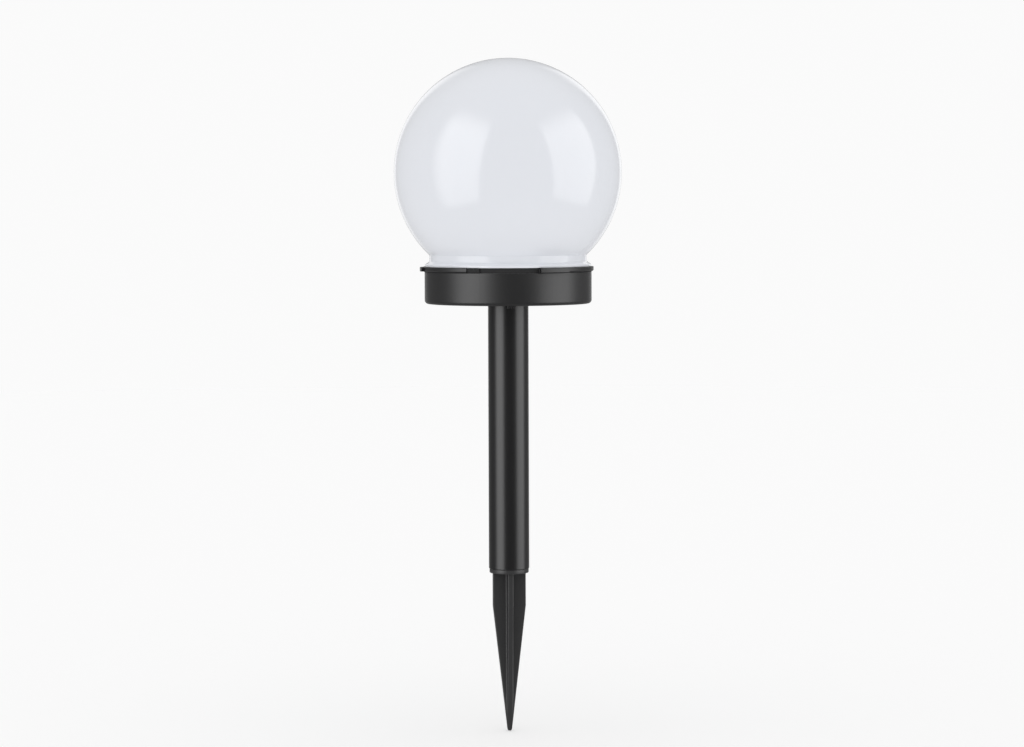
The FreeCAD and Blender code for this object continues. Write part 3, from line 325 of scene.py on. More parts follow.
def add_piece(name, mesh_builder, material=None, body=None, slot=None, *nodes):
    """New object from a bmesh, shaded smooth with sharp corners kept, riding on its body."""
    mesh = bpy.data.meshes.new(name)
    bmesh.ops.recalc_face_normals(mesh_builder, faces=mesh_builder.faces)
    mesh_builder.to_mesh(mesh)
    mesh_builder.free()
    piece = bpy.data.objects.new(name, mesh)
    bpy.context.scene.collection.objects.link(piece)
    if material:
        mesh.materials.append(material)
    shade(piece)
    if body:
        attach(piece, body)
        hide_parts(*nodes)
    return piece


def shade(piece):
    piece.data.shade_smooth()
    piece.data.set_sharp_from_angle(angle=SHARP_ANGLE)


def ring_angles(segments, steps_at):
    """Even angles round the axis, with a close pair at each place where the outline steps."""
    spacing = math.tau / segments
    angles = [spacing * index for index in range(segments)]
    stops = [stop % math.tau for stop in steps_at]
    clear = [
        angle for angle in angles
        if all(abs(math.remainder(angle - stop, math.tau)) > spacing / 4 for stop in stops)
    ]
    pairs = [(stop + side * STEP_WIDTH / 2) % math.tau for stop in stops for side in (-1, 1)]
    return sorted(clear + pairs)


def join_rings(made, rings, next_rings):
    """Faces between each ring of vertices and the one after it."""
    for here, there in zip(rings, next_rings):
        for index in range(len(here)):
            made.faces.new((here[index - 1], here[index], there[index], there[index - 1]))


def turned(section_at, segments, steps_at=()):
    """Solid turned about the axis; section_at(angle) is its closed outline at that angle."""
    made = bmesh.new()
    rings = []
    for angle in ring_angles(segments, steps_at):
        across = Vector((math.cos(angle), math.sin(angle), 0.0))
        points = [across * point[0] + Vector((0, 0, point[1])) for point in section_at(angle)]
        rings.append([made.verts.new(point) for point in points])
    join_rings(made, rings, rings[1:] + rings[:1])
    bmesh.ops.remove_doubles(made, verts=made.verts, dist=SAME_POINT)
    bmesh.ops.dissolve_degenerate(made, edges=made.edges, dist=SAME_POINT)
    on_axis = [edge for edge in made.edges if not edge.link_faces]
    bmesh.ops.delete(made, geom=on_axis, context="EDGES")
    return made


def lofted(sections):
    """Closed solid through level outlines, each a list of points at the same count."""
    made = bmesh.new()
    rings = [[made.verts.new(point) for point in section] for section in sections]
    join_rings(made, rings, rings[1:])
    made.faces.new(rings[0])
    made.faces.new(reversed(rings[-1]))
    return made


def settle(piece):
    """Applies a piece's modifiers to its mesh."""
    graph = bpy.context.evaluated_depsgraph_get()
    baked = bpy.data.meshes.new_from_object(piece.evaluated_get(graph))
    piece.modifiers.clear()
    rough = piece.data
    piece.data = baked
    bpy.data.meshes.remove(rough)
    shade(piece)


def carve(piece, tools, operation):
    """Adds or cuts the tool solids from a piece, and removes the tools."""
    for tool in tools:
        step = piece.modifiers.new("Carve", "BOOLEAN")
        step.operation = operation
        step.solver = "EXACT"
        step.object = tool
    settle(piece)
    for tool in tools:
        mesh = tool.data
        bpy.data.objects.remove(tool)
        bpy.data.meshes.remove(mesh)


def post(name, x, y, corners, segments=48):
    """Turned tool solid standing at a place."""
    tool = add_piece(name, turned(lambda angle: softened(corners), segments))
    tool.location = (x, y, 0.0)
    return tool


def bar(name, x, y, half_x, half_y, low, high, rounding):
    """Upright tool solid with a rounded oblong section."""
    corners = [(-half_x, -half_y), (half_x, -half_y), (half_x, half_y), (-half_x, half_y)]
    outline = softened([(across, up, rounding) for across, up in corners])
    placed = [(x + point.x, y + point.y) for point in outline]
    return add_piece(name, lofted([[(*point, level) for point in placed] for level in (low, high)]))


def level_faces(piece):
    """Keeps flat faces flat beside rounded edges."""
    piece.modifiers.new("Flat faces", "WEIGHTED_NORMAL").keep_sharp = True


def break_edges(node, width):
    """Fine rounding on the edges of a part that comes from the frame."""
    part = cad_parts[node]
    part.modifiers.new("Joined faces", "WELD").merge_threshold = 0.001 * MM
    edge = part.modifiers.new("Broken edges", "BEVEL")
    edge.width = width
    edge.segments = 2
    edge.limit_method = "ANGLE"
    edge.angle_limit = SHARP_ANGLE
    edge.harden_normals = True


# ---------------------------------------------------------------- node groups


def node(tree, kind, values=None, **settings):
    """New node; values sets its inputs, by name or place, to a number or to another node's output."""
    made = tree.nodes.new(kind)
    for name, setting in settings.items():
        setattr(made, name, setting)
    for socket, value in (values or {}).items():
        if isinstance(value, bpy.types.NodeSocket):
            tree.links.new(value, made.inputs[socket])
        else:
            made.inputs[socket].default_value = value
    return made


def new_group(name, inputs, outputs):
    """Empty group with its sockets, and its input and output nodes."""
    tree = bpy.data.node_groups.new(name, "ShaderNodeTree")
    for title, kind, default in inputs:
        socket = tree.interface.new_socket(title, in_out="INPUT", socket_type="NodeSocket" + kind)
        socket.default_value = default
    for title, kind in outputs:
        tree.interface.new_socket(title, in_out="OUTPUT", socket_type="NodeSocket" + kind)
    return tree, tree.nodes.new("NodeGroupInput"), tree.nodes.new("NodeGroupOutput")


def sum_of(tree, operation, first, second=0.0, third=0.0, clamp=False):
    values = {0: first, 1: second, 2: third}
    return node(tree, "ShaderNodeMath", values, operation=operation, use_clamp=clamp).outputs[0]


def product(tree, first, second):
    """Two directions multiplied axis by axis."""
    return node(tree, "ShaderNodeVectorMath", {0: first, 1: second}, operation="MULTIPLY").outputs[0]


def spread_over(tree, value, low, high, **settings):
    """Value carried from low..high to 0..1."""
    values = {"Value": value, "From Min": low, "From Max": high}
    return node(tree, "ShaderNodeMapRange", values, **settings).outputs["Result"]


def noise(tree, place, scale, detail):
    values = {"Vector": place, "Scale": scale, "Detail": detail}
    return node(tree, "ShaderNodeTexNoise", values).outputs["Fac"]


def own_place(tree):
    """Each point's place in the object's own axes."""
    return node(tree, "ShaderNodeTexCoord").outputs["Object"]


def axes_of(tree, direction):
    return node(tree, "ShaderNodeSeparateXYZ", {0: direction}).outputs


def blended(tree, factor, first, second):
    mixed = node(tree, "ShaderNodeMix", {"Factor": factor, 6: first, 7: second}, data_type="RGBA")
    return mixed.outputs[2]


def grain_group():
    """Moulded or drawn plastic: fine grain, and slow changes of tone and gloss."""
    tree, given, result = new_group(
        "Moulded grain",
        [
            ("Colour", "Color", (0.01, 0.01, 0.01, 1)),
            ("Deep colour", "Color", (0.008, 0.008, 0.008, 1)),
            ("Grain size", "Float", 0.4 * MM),
            ("Patch size", "Float", 20 * MM),
            ("Stretch", "Vector", (1, 1, 1)),
            ("Roughness", "Float", 0.4),
            ("Roughness spread", "Float", 0.1),
        ],
        [("Colour", "Color"), ("Roughness", "Float"), ("Height", "Float")],
    )
    drawn = product(tree, own_place(tree), given.outputs["Stretch"])
    fine_scale = sum_of(tree, "DIVIDE", 1.0, given.outputs["Grain size"])
    slow_scale = sum_of(tree, "DIVIDE", 1.0, given.outputs["Patch size"])
    fine = noise(tree, drawn, fine_scale, 3.0)
    pits = node(tree, "ShaderNodeTexVoronoi", {"Vector": drawn, "Scale": fine_scale}).outputs["Distance"]
    slow = noise(tree, drawn, slow_scale, 4.0)
    toned = blended(tree, slow, given.outputs["Colour"], given.outputs["Deep colour"])
    uneven = sum_of(tree, "SUBTRACT", sum_of(tree, "ADD", slow, fine), 1.0)
    spread = given.outputs["Roughness spread"]
    rough = sum_of(tree, "MULTIPLY_ADD", uneven, spread, given.outputs["Roughness"])
    height = sum_of(tree, "MULTIPLY_ADD", pits, 0.5, fine)
    tree.links.new(toned, result.inputs["Colour"])
    tree.links.new(rough, result.inputs["Roughness"])
    tree.links.new(height, result.inputs["Height"])
    return tree


def dust_group():
    """Thin dust that settles on faces that look up, in patches."""
    tree, given, result = new_group(
        "Settled dust",
        [
            ("Colour", "Color", (0.01, 0.01, 0.01, 1)),
            ("Roughness", "Float", 0.4),
            ("Dust", "Color", (0.32, 0.3, 0.27, 1)),
            ("Amount", "Float", 0.03),
        ],
        [("Colour", "Color"), ("Roughness", "Float")],
    )
    upward = axes_of(tree, node(tree, "ShaderNodeNewGeometry").outputs["Normal"])["Z"]
    shelf = spread_over(tree, upward, -0.2, 1.0)
    patches = noise(tree, own_place(tree), 160.0, 6.0)
    lying = sum_of(tree, "MULTIPLY", shelf, patches)
    cover = sum_of(tree, "MULTIPLY", lying, given.outputs["Amount"], clamp=True)
    toned = blended(tree, cover, given.outputs["Colour"], given.outputs["Dust"])
    tree.links.new(toned, result.inputs["Colour"])
    dull = sum_of(tree, "MULTIPLY_ADD", cover, 0.5, given.outputs["Roughness"])
    tree.links.new(dull, result.inputs["Roughness"])
    return tree


def scratch_group():
    """Hairline scratches and brush marks, drawn out along one direction."""
    tree, given, result = new_group(
        "Hairlines",
        [
            ("Run", "Vector", (1, 1, 0.04)),
            ("Spacing", "Float", 0.3 * MM),
            ("Density", "Float", 0.3),
        ],
        [("Mask", "Float"), ("Height", "Float")],
    )
    drawn = product(tree, own_place(tree), given.outputs["Run"])
    scale = sum_of(tree, "DIVIDE", 1.0, given.outputs["Spacing"])
    lines = noise(tree, drawn, scale, 2.0)
    edge = sum_of(tree, "SUBTRACT", 1.0, given.outputs["Density"])
    mask = spread_over(tree, lines, edge, 1.0)
    tree.links.new(mask, result.inputs["Mask"])
    tree.links.new(lines, result.inputs["Height"])
    return tree


GROUP_MAKERS = {"Moulded grain": grain_group, "Settled dust": dust_group, "Hairlines": scratch_group}


def grouped(tree, name, values):
    """One of the shared groups, placed with its own values."""
    shared = bpy.data.node_groups.get(name) or GROUP_MAKERS[name]()
    return node(tree, "ShaderNodeGroup", values, node_tree=shared)


# ---------------------------------------------------------------- materials


def new_material(name, **constants):
    """Material with one Principled shader whose constant sockets are set."""
    material = bpy.data.materials.new(name)
    material.use_nodes = True
    tree = material.node_tree
    shader = tree.nodes["Principled BSDF"]
    for title, value in constants.items():
        shader.inputs[title.replace("_", " ")].default_value = value
    return material, tree, shader


def bumped(tree, shader, height, strength, depth):
    bump = node(tree, "ShaderNodeBump", {"Height": height, "Strength": strength, "Distance": depth})
    tree.links.new(bump.outputs["Normal"], shader.inputs["Normal"])


def painted(tree, shader, colour_from, roughness_from):
    tree.links.new(colour_from, shader.inputs["Base Color"])
    tree.links.new(roughness_from, shader.inputs["Roughness"])


def scaled(tone, factor):
    """Colour made darker or lighter by a factor."""
    return (*[min(channel * factor, 1.0) for channel in tone[:3]], 1.0)


def dusted(tree, skin, amount):
    """Settled dust over a grained skin."""
    values = {"Colour": skin.outputs["Colour"], "Roughness": skin.outputs["Roughness"]}
    return grouped(tree, "Settled dust", {**values, "Amount": amount})


def plastic(name, tone, roughness, grain=0.35 * MM, depth=0.02 * MM, spread=0.08, dust=0.0,
            stretch=(1, 1, 1), **constants):
    """Moulded plastic with grain, uneven gloss and, if wanted, settled dust."""
    material, tree, shader = new_material(name, **constants)
    skin = grouped(tree, "Moulded grain", {
        "Colour": tone,
        "Deep colour": scaled(tone, 0.8),
        "Grain size": grain,
        "Stretch": stretch,
        "Roughness": roughness,
        "Roughness spread": spread,
    })
    finish = dusted(tree, skin, dust) if dust else skin
    painted(tree, shader, finish.outputs["Colour"], finish.outputs["Roughness"])
    bumped(tree, shader, skin.outputs["Height"], 0.35, depth)
    return material


def metal(name, tone, roughness, run=(1, 1, 0.05), spacing=0.12 * MM):
    """Plated metal with brush marks and a slightly cloudy gloss."""
    material, tree, shader = new_material(name, Metallic=1.0)
    lines = grouped(tree, "Hairlines", {"Run": run, "Spacing": spacing, "Density": 0.45})
    skin = grouped(tree, "Moulded grain", {
        "Colour": tone,
        "Deep colour": scaled(tone, 0.7),
        "Patch size": 3 * MM,
        "Roughness": roughness,
        "Roughness spread": 0.12,
    })
    dulled = sum_of(tree, "MULTIPLY_ADD", lines.outputs["Mask"], 0.25, skin.outputs["Roughness"])
    painted(tree, shader, skin.outputs["Colour"], dulled)
    bumped(tree, shader, lines.outputs["Height"], 0.3, 0.01 * MM)
    return material


def opal_material(ball):
    """Opal plastic: milky, glossy, with faint clouding and a soft orange-peel surface."""
    sheen = {"Sheen_Weight": 0.3, "Sheen_Roughness": 0.5}
    material, tree, shader = new_material("opal_ball", IOR=1.44, **sheen)
    skin = grouped(tree, "Moulded grain", {
        "Colour": ball.opal,
        "Deep colour": ball.opal_cloud,
        "Grain size": 2.2 * MM,
        "Patch size": 45 * MM,
        "Roughness": ball.gloss,
        "Roughness spread": 0.04,
    })
    finish = dusted(tree, skin, 0.02)
    painted(tree, shader, finish.outputs["Colour"], finish.outputs["Roughness"])
    bumped(tree, shader, skin.outputs["Height"], 0.08, 0.02 * MM)
    return material


def ring_material(housing):
    """Satin ring, with the sunken windows round its edge left matt."""
    material, tree, shader = new_material("ring_plastic", IOR=1.55)
    place = own_place(tree)
    level = axes_of(tree, place)["Z"]
    flat = product(tree, place, (1, 1, 0))
    radius = node(tree, "ShaderNodeVectorMath", {0: flat}, operation="LENGTH").outputs["Value"]
    sunk = node(tree, "ShaderNodeMapRange", {
        "Value": radius,
        "From Min": reach("base_cup") + 0.4 * MM,
        "From Max": reach("base_cup") + 0.7 * MM,
        "To Min": 1.0,
        "To Max": 0.0,
    }).outputs["Result"]
    above_cup = sum_of(tree, "GREATER_THAN", level, top("base_cup"))
    window = sum_of(tree, "MULTIPLY", sunk, above_cup)
    skin = grouped(tree, "Moulded grain", {
        "Colour": housing.ring_black,
        "Deep colour": scaled(housing.ring_black, 0.8),
        "Roughness": housing.cup_roughness,
        "Roughness spread": 0.08,
    })
    finish = dusted(tree, skin, 0.03)
    matt = sum_of(tree, "MULTIPLY_ADD", window, 0.5, finish.outputs["Roughness"], clamp=True)
    painted(tree, shader, finish.outputs["Colour"], matt)
    bumped(tree, shader, skin.outputs["Height"], 0.35, 0.02 * MM)
    return material


def cell_material(fittings):
    """Silicon with fine silver fingers across it and one bus line along it."""
    material, tree, shader = new_material("silicon_cells", IOR=1.6)
    axes = axes_of(tree, own_place(tree))
    finger_place = sum_of(tree, "PINGPONG", axes["Y"], 0.6 * MM)
    lines = sum_of(tree, "LESS_THAN", finger_place, 0.06 * MM)
    for cell in SOLAR_CELLS:
        low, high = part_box(cell)
        away = sum_of(tree, "ABSOLUTE", sum_of(tree, "SUBTRACT", axes["X"], (low.x + high.x) / 2))
        lines = sum_of(tree, "MAXIMUM", lines, sum_of(tree, "LESS_THAN", away, 0.4 * MM))
    skin = grouped(tree, "Moulded grain", {
        "Colour": fittings.cell_blue,
        "Deep colour": (0.02, 0.03, 0.1, 1.0),
        "Grain size": 1.6 * MM,
        "Patch size": 5 * MM,
        "Roughness": 0.22,
        "Roughness spread": 0.1,
    })
    drawn = blended(tree, lines, skin.outputs["Colour"], (0.5, 0.5, 0.5, 1.0))
    painted(tree, shader, drawn, skin.outputs["Roughness"])
    bumped(tree, shader, lines, 0.4, 0.02 * MM)
    return material


def clear_material(name, tone, roughness):
    """Clear cast resin with faint ripples and an uneven gloss."""
    material, tree, shader = new_material(name, Transmission_Weight=1.0, IOR=1.5)
    skin = grouped(tree, "Moulded grain", {
        "Colour": tone,
        "Deep colour": tone,
        "Grain size": 1.5 * MM,
        "Roughness": roughness,
        "Roughness spread": 0.06,
    })
    painted(tree, shader, skin.outputs["Colour"], skin.outputs["Roughness"])
    bumped(tree, shader, skin.outputs["Height"], 0.1, 0.02 * MM)
    return material


def film_material(fittings):
    """Shrink film on the cell, with one plain band round each end."""
    material, tree, shader = new_material("battery_wrap", Coat_Weight=0.4, Coat_Roughness=0.12)
    low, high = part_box("battery_sleeve")
    along = axes_of(tree, own_place(tree))["X"]
    away = sum_of(tree, "ABSOLUTE", sum_of(tree, "SUBTRACT", along, (low.x + high.x) / 2))
    band = sum_of(tree, "COMPARE", away, (high.x - low.x) * 0.36, 2.2 * MM)
    skin = grouped(tree, "Moulded grain", {
        "Colour": fittings.film,
        "Deep colour": (0.015, 0.12, 0.06, 1.0),
        "Grain size": 0.8 * MM,
        "Roughness": 0.3,
        "Roughness spread": 0.1,
    })
    printed = blended(tree, band, skin.outputs["Colour"], fittings.film_band)
    painted(tree, shader, printed, skin.outputs["Roughness"])
    bumped(tree, shader, skin.outputs["Height"], 0.2, 0.02 * MM)
    return material


def board_material(name, tone, weave=0.5 * MM):
    """Glass laminate: a faint weave under the solder mask, with gloss that varies."""
    material, tree, shader = new_material(name, Coat_Weight=0.25, Coat_Roughness=0.2)
    values = {"Vector": own_place(tree), "Scale": 0.3 / weave}
    warp = node(tree, "ShaderNodeTexWave", values, bands_direction="X").outputs["Fac"]
    weft = node(tree, "ShaderNodeTexWave", values, bands_direction="Y").outputs["Fac"]
    cloth = sum_of(tree, "MULTIPLY", warp, weft)
    skin = grouped(tree, "Moulded grain", {
        "Colour": tone,
        "Deep colour": scaled(tone, 0.75),
        "Roughness": 0.35,
        "Patch size": 6 * MM,
    })
    faint = sum_of(tree, "MULTIPLY", cloth, 0.5)
    woven = blended(tree, faint, skin.outputs["Colour"], scaled(tone, 1.2))
    painted(tree, shader, woven, skin.outputs["Roughness"])
    bumped(tree, shader, cloth, 0.3, 0.02 * MM)
    return material


def finish_nodes(material, *names, edge=0.0):
    """Gives parts of the frame their material and, if wanted, a fine broken edge."""
    for name in names:
        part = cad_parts[name]
        for place in part.material_slots:
            place.material = material
        if edge:
            break_edges(name, edge)


# ---------------------------------------------------------------- pieces


class GARDEN_OT_ball(Operator):
    """Opal ball with neck, flange, bayonet skirt and lugs"""

    bl_idname = "garden.ball"
    bl_label = "Ball"

    def execute(self, context):
        ball = context.scene.garden_ball
        radius = reach("globe")
        centre = top("globe") - radius
        skirt_foot = foot("globe")
        ring_top = top("globe_seal")
        flange_top = ring_top + ball.flange_height
        neck_bore = ball.neck_radius - ball.wall
        inner = radius - ball.wall
        outer_start = -math.acos(ball.neck_radius / radius)
        inner_start = -math.acos(neck_bore / inner)
        middles = [ball.lug_turn + way for way in THREE_WAYS]
        lug_low = skirt_foot + ball.lug_lift
        lug_high = lug_low + ball.lug_height

        def section_at(angle):
            lug = any(within(angle, middle, ball.lug_span) for middle in middles)
            lug_radius = ball.lug_radius if lug else ball.skirt_outer
            below = softened([
                (ball.skirt_inner, ring_top + ball.web_height, 0.3 * MM),
                (ball.skirt_inner, skirt_foot, 0.2 * MM),
                (ball.skirt_outer, skirt_foot, 0.2 * MM),
                (ball.skirt_outer, lug_low, 0),
                (lug_radius, lug_low, 0),
                (lug_radius, lug_high, 0),
                (ball.skirt_outer, lug_high, 0),
                (ball.skirt_outer, ring_top, 0),
                (ball.flange_radius, ring_top, 0.2 * MM),
                (ball.flange_radius, ring_top + ball.flange_edge, 0.6 * MM),
                (ball.neck_radius, flange_top, 1.2 * MM),
                (ball.neck_radius, centre + radius * math.sin(outer_start), 0),
                (neck_bore, ring_top + ball.web_height, 0.5 * MM),
            ])
            split = max(range(len(below)), key=lambda index: below[index].y)
            outside = arc(centre, radius, outer_start, math.pi / 2, 96)
            inside = arc(centre, inner, math.pi / 2, inner_start, 64)
            return below[:split] + outside + inside + below[split + 1:]

        made = turned(section_at, ball.segments, sector_edges(middles, ball.lug_span))
        piece = add_piece("opal_ball", made, opal_material(ball), "globe", "opal_plastic", "globe")
        level_faces(piece)
        return {"FINISHED"}


class GARDEN_OT_deck(Operator):
    """Ring and deck under the ball, with their satin plastic and the two seals"""

    bl_idname = "garden.deck"
    bl_label = "Ring, deck and seals"

    def execute(self, context):
        housing = context.scene.garden_housing
        fittings = context.scene.garden_fittings
        finish_nodes(ring_material(housing), "deck")
        rubber = plastic("seal_rubber", fittings.rubber, 0.6, grain=0.2 * MM, spread=0.15)
        finish_nodes(rubber, "cup_seal", "globe_seal")
        return {"FINISHED"}


class GARDEN_OT_cup(Operator):
    """Round cup with its spigot, screw bosses, counterbores and the knob's slot"""

    bl_idname = "garden.cup"
    bl_label = "Cup"

    def execute(self, context):
        housing = context.scene.garden_housing
        radius = reach("base_cup")
        rim = top("base_cup")
        spigot_foot = foot("base_cup")
        underside = foot("housing_screws") - SCREW_SUNK
        floor = underside + housing.wall
        inner = radius - housing.wall
        bore = housing.spigot_bore
        core = housing.spigot_radius
        rib_span = 2 * math.asin(housing.rib_width / 2 / core)
        corners = [
            (0, underside, 0),
            (bore, underside, 0),
            (bore, spigot_foot, 0.25 * MM),
            (core, spigot_foot, 0.35 * MM),
        ]

        def section_at(angle):
            ribbed = any(within(angle, way, rib_span) for way in SIX_WAYS)
            rib = housing.rib_radius if ribbed else core
            return softened(corners + [
                (core, spigot_foot + RIB_LEAD_IN, 0),
                (rib, spigot_foot + RIB_LEAD_IN, 0),
                (rib, underside, 0),
                (core, underside, 0),
                (radius, underside, housing.corner),
                (radius, rim, housing.lip),
                (inner, rim, housing.lip),
                (inner, floor, 0.8 * MM),
                (0, floor, 0),
            ], steps=8)

        satin = plastic("cup_plastic", housing.cup_black, housing.cup_roughness, dust=0.03, IOR=1.58)
        made = turned(section_at, housing.segments, sector_edges(SIX_WAYS, rib_span))
        piece = add_piece("housing_cup", made, satin, "head", "cup_plastic", "base_cup")
        circle = housing.screw_circle
        ways = [way + math.pi / 2 for way in THREE_WAYS]
        places = [(circle * math.cos(way), circle * math.sin(way)) for way in ways]
        boss_top = floor + housing.boss_height
        boss = [
            (0, floor - OVERLAP, 0),
            (housing.boss_radius, floor - OVERLAP, 0),
            (housing.boss_radius, boss_top, 0.3 * MM),
            (0, boss_top, 0),
        ]
        carve(piece, [post("boss", x, y, boss, 40) for x, y in places], "UNION")
        well = underside + housing.counterbore_depth
        well_radius = housing.counterbore_radius
        below = underside - 1 * MM
        above = 1 * MM
        chamfer = 0.25 * MM
        hole = [
            (0, below, 0),
            (well_radius + chamfer, below, 0),
            (well_radius + chamfer, underside, 0),
            (well_radius, underside + chamfer, 0),
            (well_radius, well, 0),
            (housing.screw_hole, well, 0),
            (housing.screw_hole, boss_top + above, 0),
            (0, boss_top + above, 0),
        ]
        cutters = [post("well", x, y, hole) for x, y in places]
        sides = (housing.slot_half_x, housing.slot_half_y)
        slot = bar("slot", 0, -housing.slot_reach, *sides, below, floor + above, 0.4 * MM)
        cutters.append(slot)
        carve(piece, cutters, "DIFFERENCE")
        level_faces(piece)
        return {"FINISHED"}


class GARDEN_OT_tube(Operator):
    """Drawn tube between stake and housing"""

    bl_idname = "garden.tube"
    bl_label = "Tube"

    def execute(self, context):
        stem = context.scene.garden_stem
        radius = reach("stem_tube")
        low = foot("stem_tube")
        high = top("stem_tube")
        outline = softened([
            (stem.bore, low, stem.edge),
            (radius, low, stem.edge),
            (radius, high, stem.edge),
            (stem.bore, high, stem.edge),
        ])
        black = plastic(
            "tube_plastic", stem.tube_black, stem.tube_roughness,
            grain=0.5 * MM, depth=0.01 * MM, spread=0.05, stretch=(1, 1, 0.08), dust=0.02, IOR=1.6,
        )
        made = turned(lambda angle: outline, stem.segments)
        piece = add_piece("stem", made, black, "tube", "tube_plastic", "stem_tube")
        level_faces(piece)
        return {"FINISHED"}


class GARDEN_OT_stake(Operator):
    """Stake: collar and ribbed spigot above, cross of tapering fins below"""

    bl_idname = "garden.stake"
    bl_label = "Ground stake"

    def execute(self, context):
        stake = context.scene.garden_stake
        housing = context.scene.garden_housing
        tip = foot("ground_stake")
        head = top("ground_stake")
        core = housing.spigot_radius
        bore = housing.spigot_bore
        rib_span = 2 * math.asin(housing.rib_width / 2 / core)
        collar = stake.collar_height

        def section_at(angle):
            ribbed = any(within(angle, way, rib_span) for way in SIX_WAYS)
            rib = housing.rib_radius if ribbed else core
            return softened([
                (0, 0, 0),
                (stake.collar_radius, 0, stake.collar_edge),
                (stake.collar_radius, collar, stake.collar_edge),
                (core, collar, 0),
                (rib, collar, 0),
                (rib, head - RIB_LEAD_IN, 0),
                (core, head - RIB_LEAD_IN, 0),
                (core, head, 0.35 * MM),
                (bore, head, 0.25 * MM),
                (bore, collar, 0.4 * MM),
                (0, collar, 0),
            ])

        black = plastic(
            "stake_plastic", stake.stake_black, stake.stake_roughness,
            grain=0.3 * MM, spread=0.1, dust=0.05,
        )
        made = turned(section_at, 160, sector_edges(SIX_WAYS, rib_span))
        piece = add_piece(
            "ground_stake_black", made, black, "stake", "stake_plastic", "ground_stake",
        )
        fins = add_piece("fins", self.fins(stake, tip))
        carve(piece, [fins], "UNION")
        level_faces(piece)
        return {"FINISHED"}

    def fins(self, stake, tip):
        """Cross-shaped loft from inside the collar to the rounded tip."""
        half = stake.fin_thick / 2
        taper_end = tip + stake.tip_radius
        levels = [OVERLAP, -stake.fin_straight * 0.5, -stake.fin_straight]
        widths = [stake.fin_half] * 3
        for step in range(1, 25):
            share_down = step / 24
            levels.append(-stake.fin_straight + (taper_end + stake.fin_straight) * share_down)
            widths.append(stake.fin_half + (stake.tip_radius - stake.fin_half) * share_down)
        for step in range(1, 7):
            lean = math.radians(13 * step)
            levels.append(taper_end - stake.tip_radius * math.sin(lean))
            widths.append(stake.tip_radius * math.cos(lean))
        sections = []
        for level, width in zip(levels, widths):
            thick = min(half, width * 0.72)
            rounding = min(stake.fin_edge, thick * 0.4, (width - thick) * 0.45)
            root = min(stake.fin_root, (width - thick) * 0.45)
            corners = []
            for quarter in range(4):
                spin = Matrix.Rotation(math.radians(90 * quarter), 2)
                ends = ((thick, thick, root), (width, thick, rounding), (width, -thick, rounding))
                for across, up, soft in ends:
                    corners.append((*(spin @ Vector((across, up))), soft))
            corners.sort(key=lambda corner: math.atan2(corner[1], corner[0]))
            outline = softened(corners, steps=4)
            sections.append([Vector((point.x, point.y, level)) for point in outline])
        return lofted(sections)


class GARDEN_OT_panel(Operator):
    """Solar panel: foam pad, base board, cells and clear cover"""

    bl_idname = "garden.panel"
    bl_label = "Solar panel"

    def execute(self, context):
        fittings = context.scene.garden_fittings
        foam = plastic("panel_foam", (0.05, 0.05, 0.05, 1), 0.85, grain=0.4 * MM, depth=0.1 * MM)
        finish_nodes(foam, "panel_pad")
        finish_nodes(board_material("panel_white", fittings.panel_laminate), "panel_board")
        finish_nodes(cell_material(fittings), *SOLAR_CELLS)
        finish_nodes(clear_material("panel_resin", (0.97, 0.98, 0.98, 1), 0.08), "panel_cover")
        red = plastic("red_insulation", fittings.red, 0.4, grain=0.3 * MM)
        black = plastic("black_insulation", fittings.black, 0.4, grain=0.3 * MM)
        finish_nodes(red, "panel_lead_red", "battery_lead_red", "switch_lead_red")
        finish_nodes(black, "panel_lead_black", "battery_lead_black", "switch_lead_black")
        return {"FINISHED"}


class GARDEN_OT_lamps(Operator):
    """Circuit board with eight lamps, their legs and the driver parts"""

    bl_idname = "garden.lamps"
    bl_label = "Board and lamps"

    def execute(self, context):
        fittings = context.scene.garden_fittings
        finish_nodes(board_material("board_green", fittings.laminate), "circuit_board")
        finish_nodes(clear_material("lamp_epoxy", fittings.lamp, 0.06), *LAMPS)
        finish_nodes(metal("tinned_wire", fittings.steel, 0.3), "lamp_legs")
        chip = plastic("chip_black", (0.015, 0.015, 0.016, 1), 0.5, grain=0.15 * MM)
        finish_nodes(chip, "driver_chip")
        finish_nodes(plastic("ferrite", (0.03, 0.028, 0.026, 1), 0.65, grain=0.25 * MM), "inductor")
        finish_nodes(metal("capacitor_can", (0.7, 0.7, 0.71, 1), 0.28), "capacitor")
        finish_nodes(plastic("resistor_beige", (0.5, 0.36, 0.2, 1), 0.45, grain=0.3 * MM), "resistor")
        return {"FINISHED"}


class GARDEN_OT_battery(Operator):
    """Cell with its film, contacts, spring and tray"""

    bl_idname = "garden.battery"
    bl_label = "Battery"

    def execute(self, context):
        fittings = context.scene.garden_fittings
        housing = context.scene.garden_housing
        finish_nodes(metal("battery_steel", fittings.steel, 0.28, run=(0.05, 1, 1)), "battery_can")
        finish_nodes(film_material(fittings), "battery_sleeve")
        contact = metal("contact_steel", fittings.brass, 0.3, run=(1, 0.06, 1))
        finish_nodes(contact, "battery_spring", "contact_plate_minus", "contact_plate_plus")
        finish_nodes(plastic("tray_black", housing.cup_black, 0.5), "battery_tray")
        return {"FINISHED"}


class GARDEN_OT_switch(Operator):
    """Slide switch with its knob under the cup"""

    bl_idname = "garden.switch"
    bl_label = "Switch"

    def execute(self, context):
        fittings = context.scene.garden_fittings
        steel = metal("switch_steel", fittings.steel, 0.3, run=(0.05, 1, 1))
        terminals = ["switch_terminal_%d" % place for place in range(1, 4)]
        finish_nodes(steel, "switch_frame", *terminals)
        finish_nodes(plastic("switch_body_black", (0.014, 0.014, 0.015, 1), 0.45), "switch_body")
        knob = plastic("knob_black", (0.02, 0.02, 0.021, 1), 0.38, grain=0.2 * MM)
        finish_nodes(knob, "switch_knob", edge=0.12 * MM)
        return {"FINISHED"}


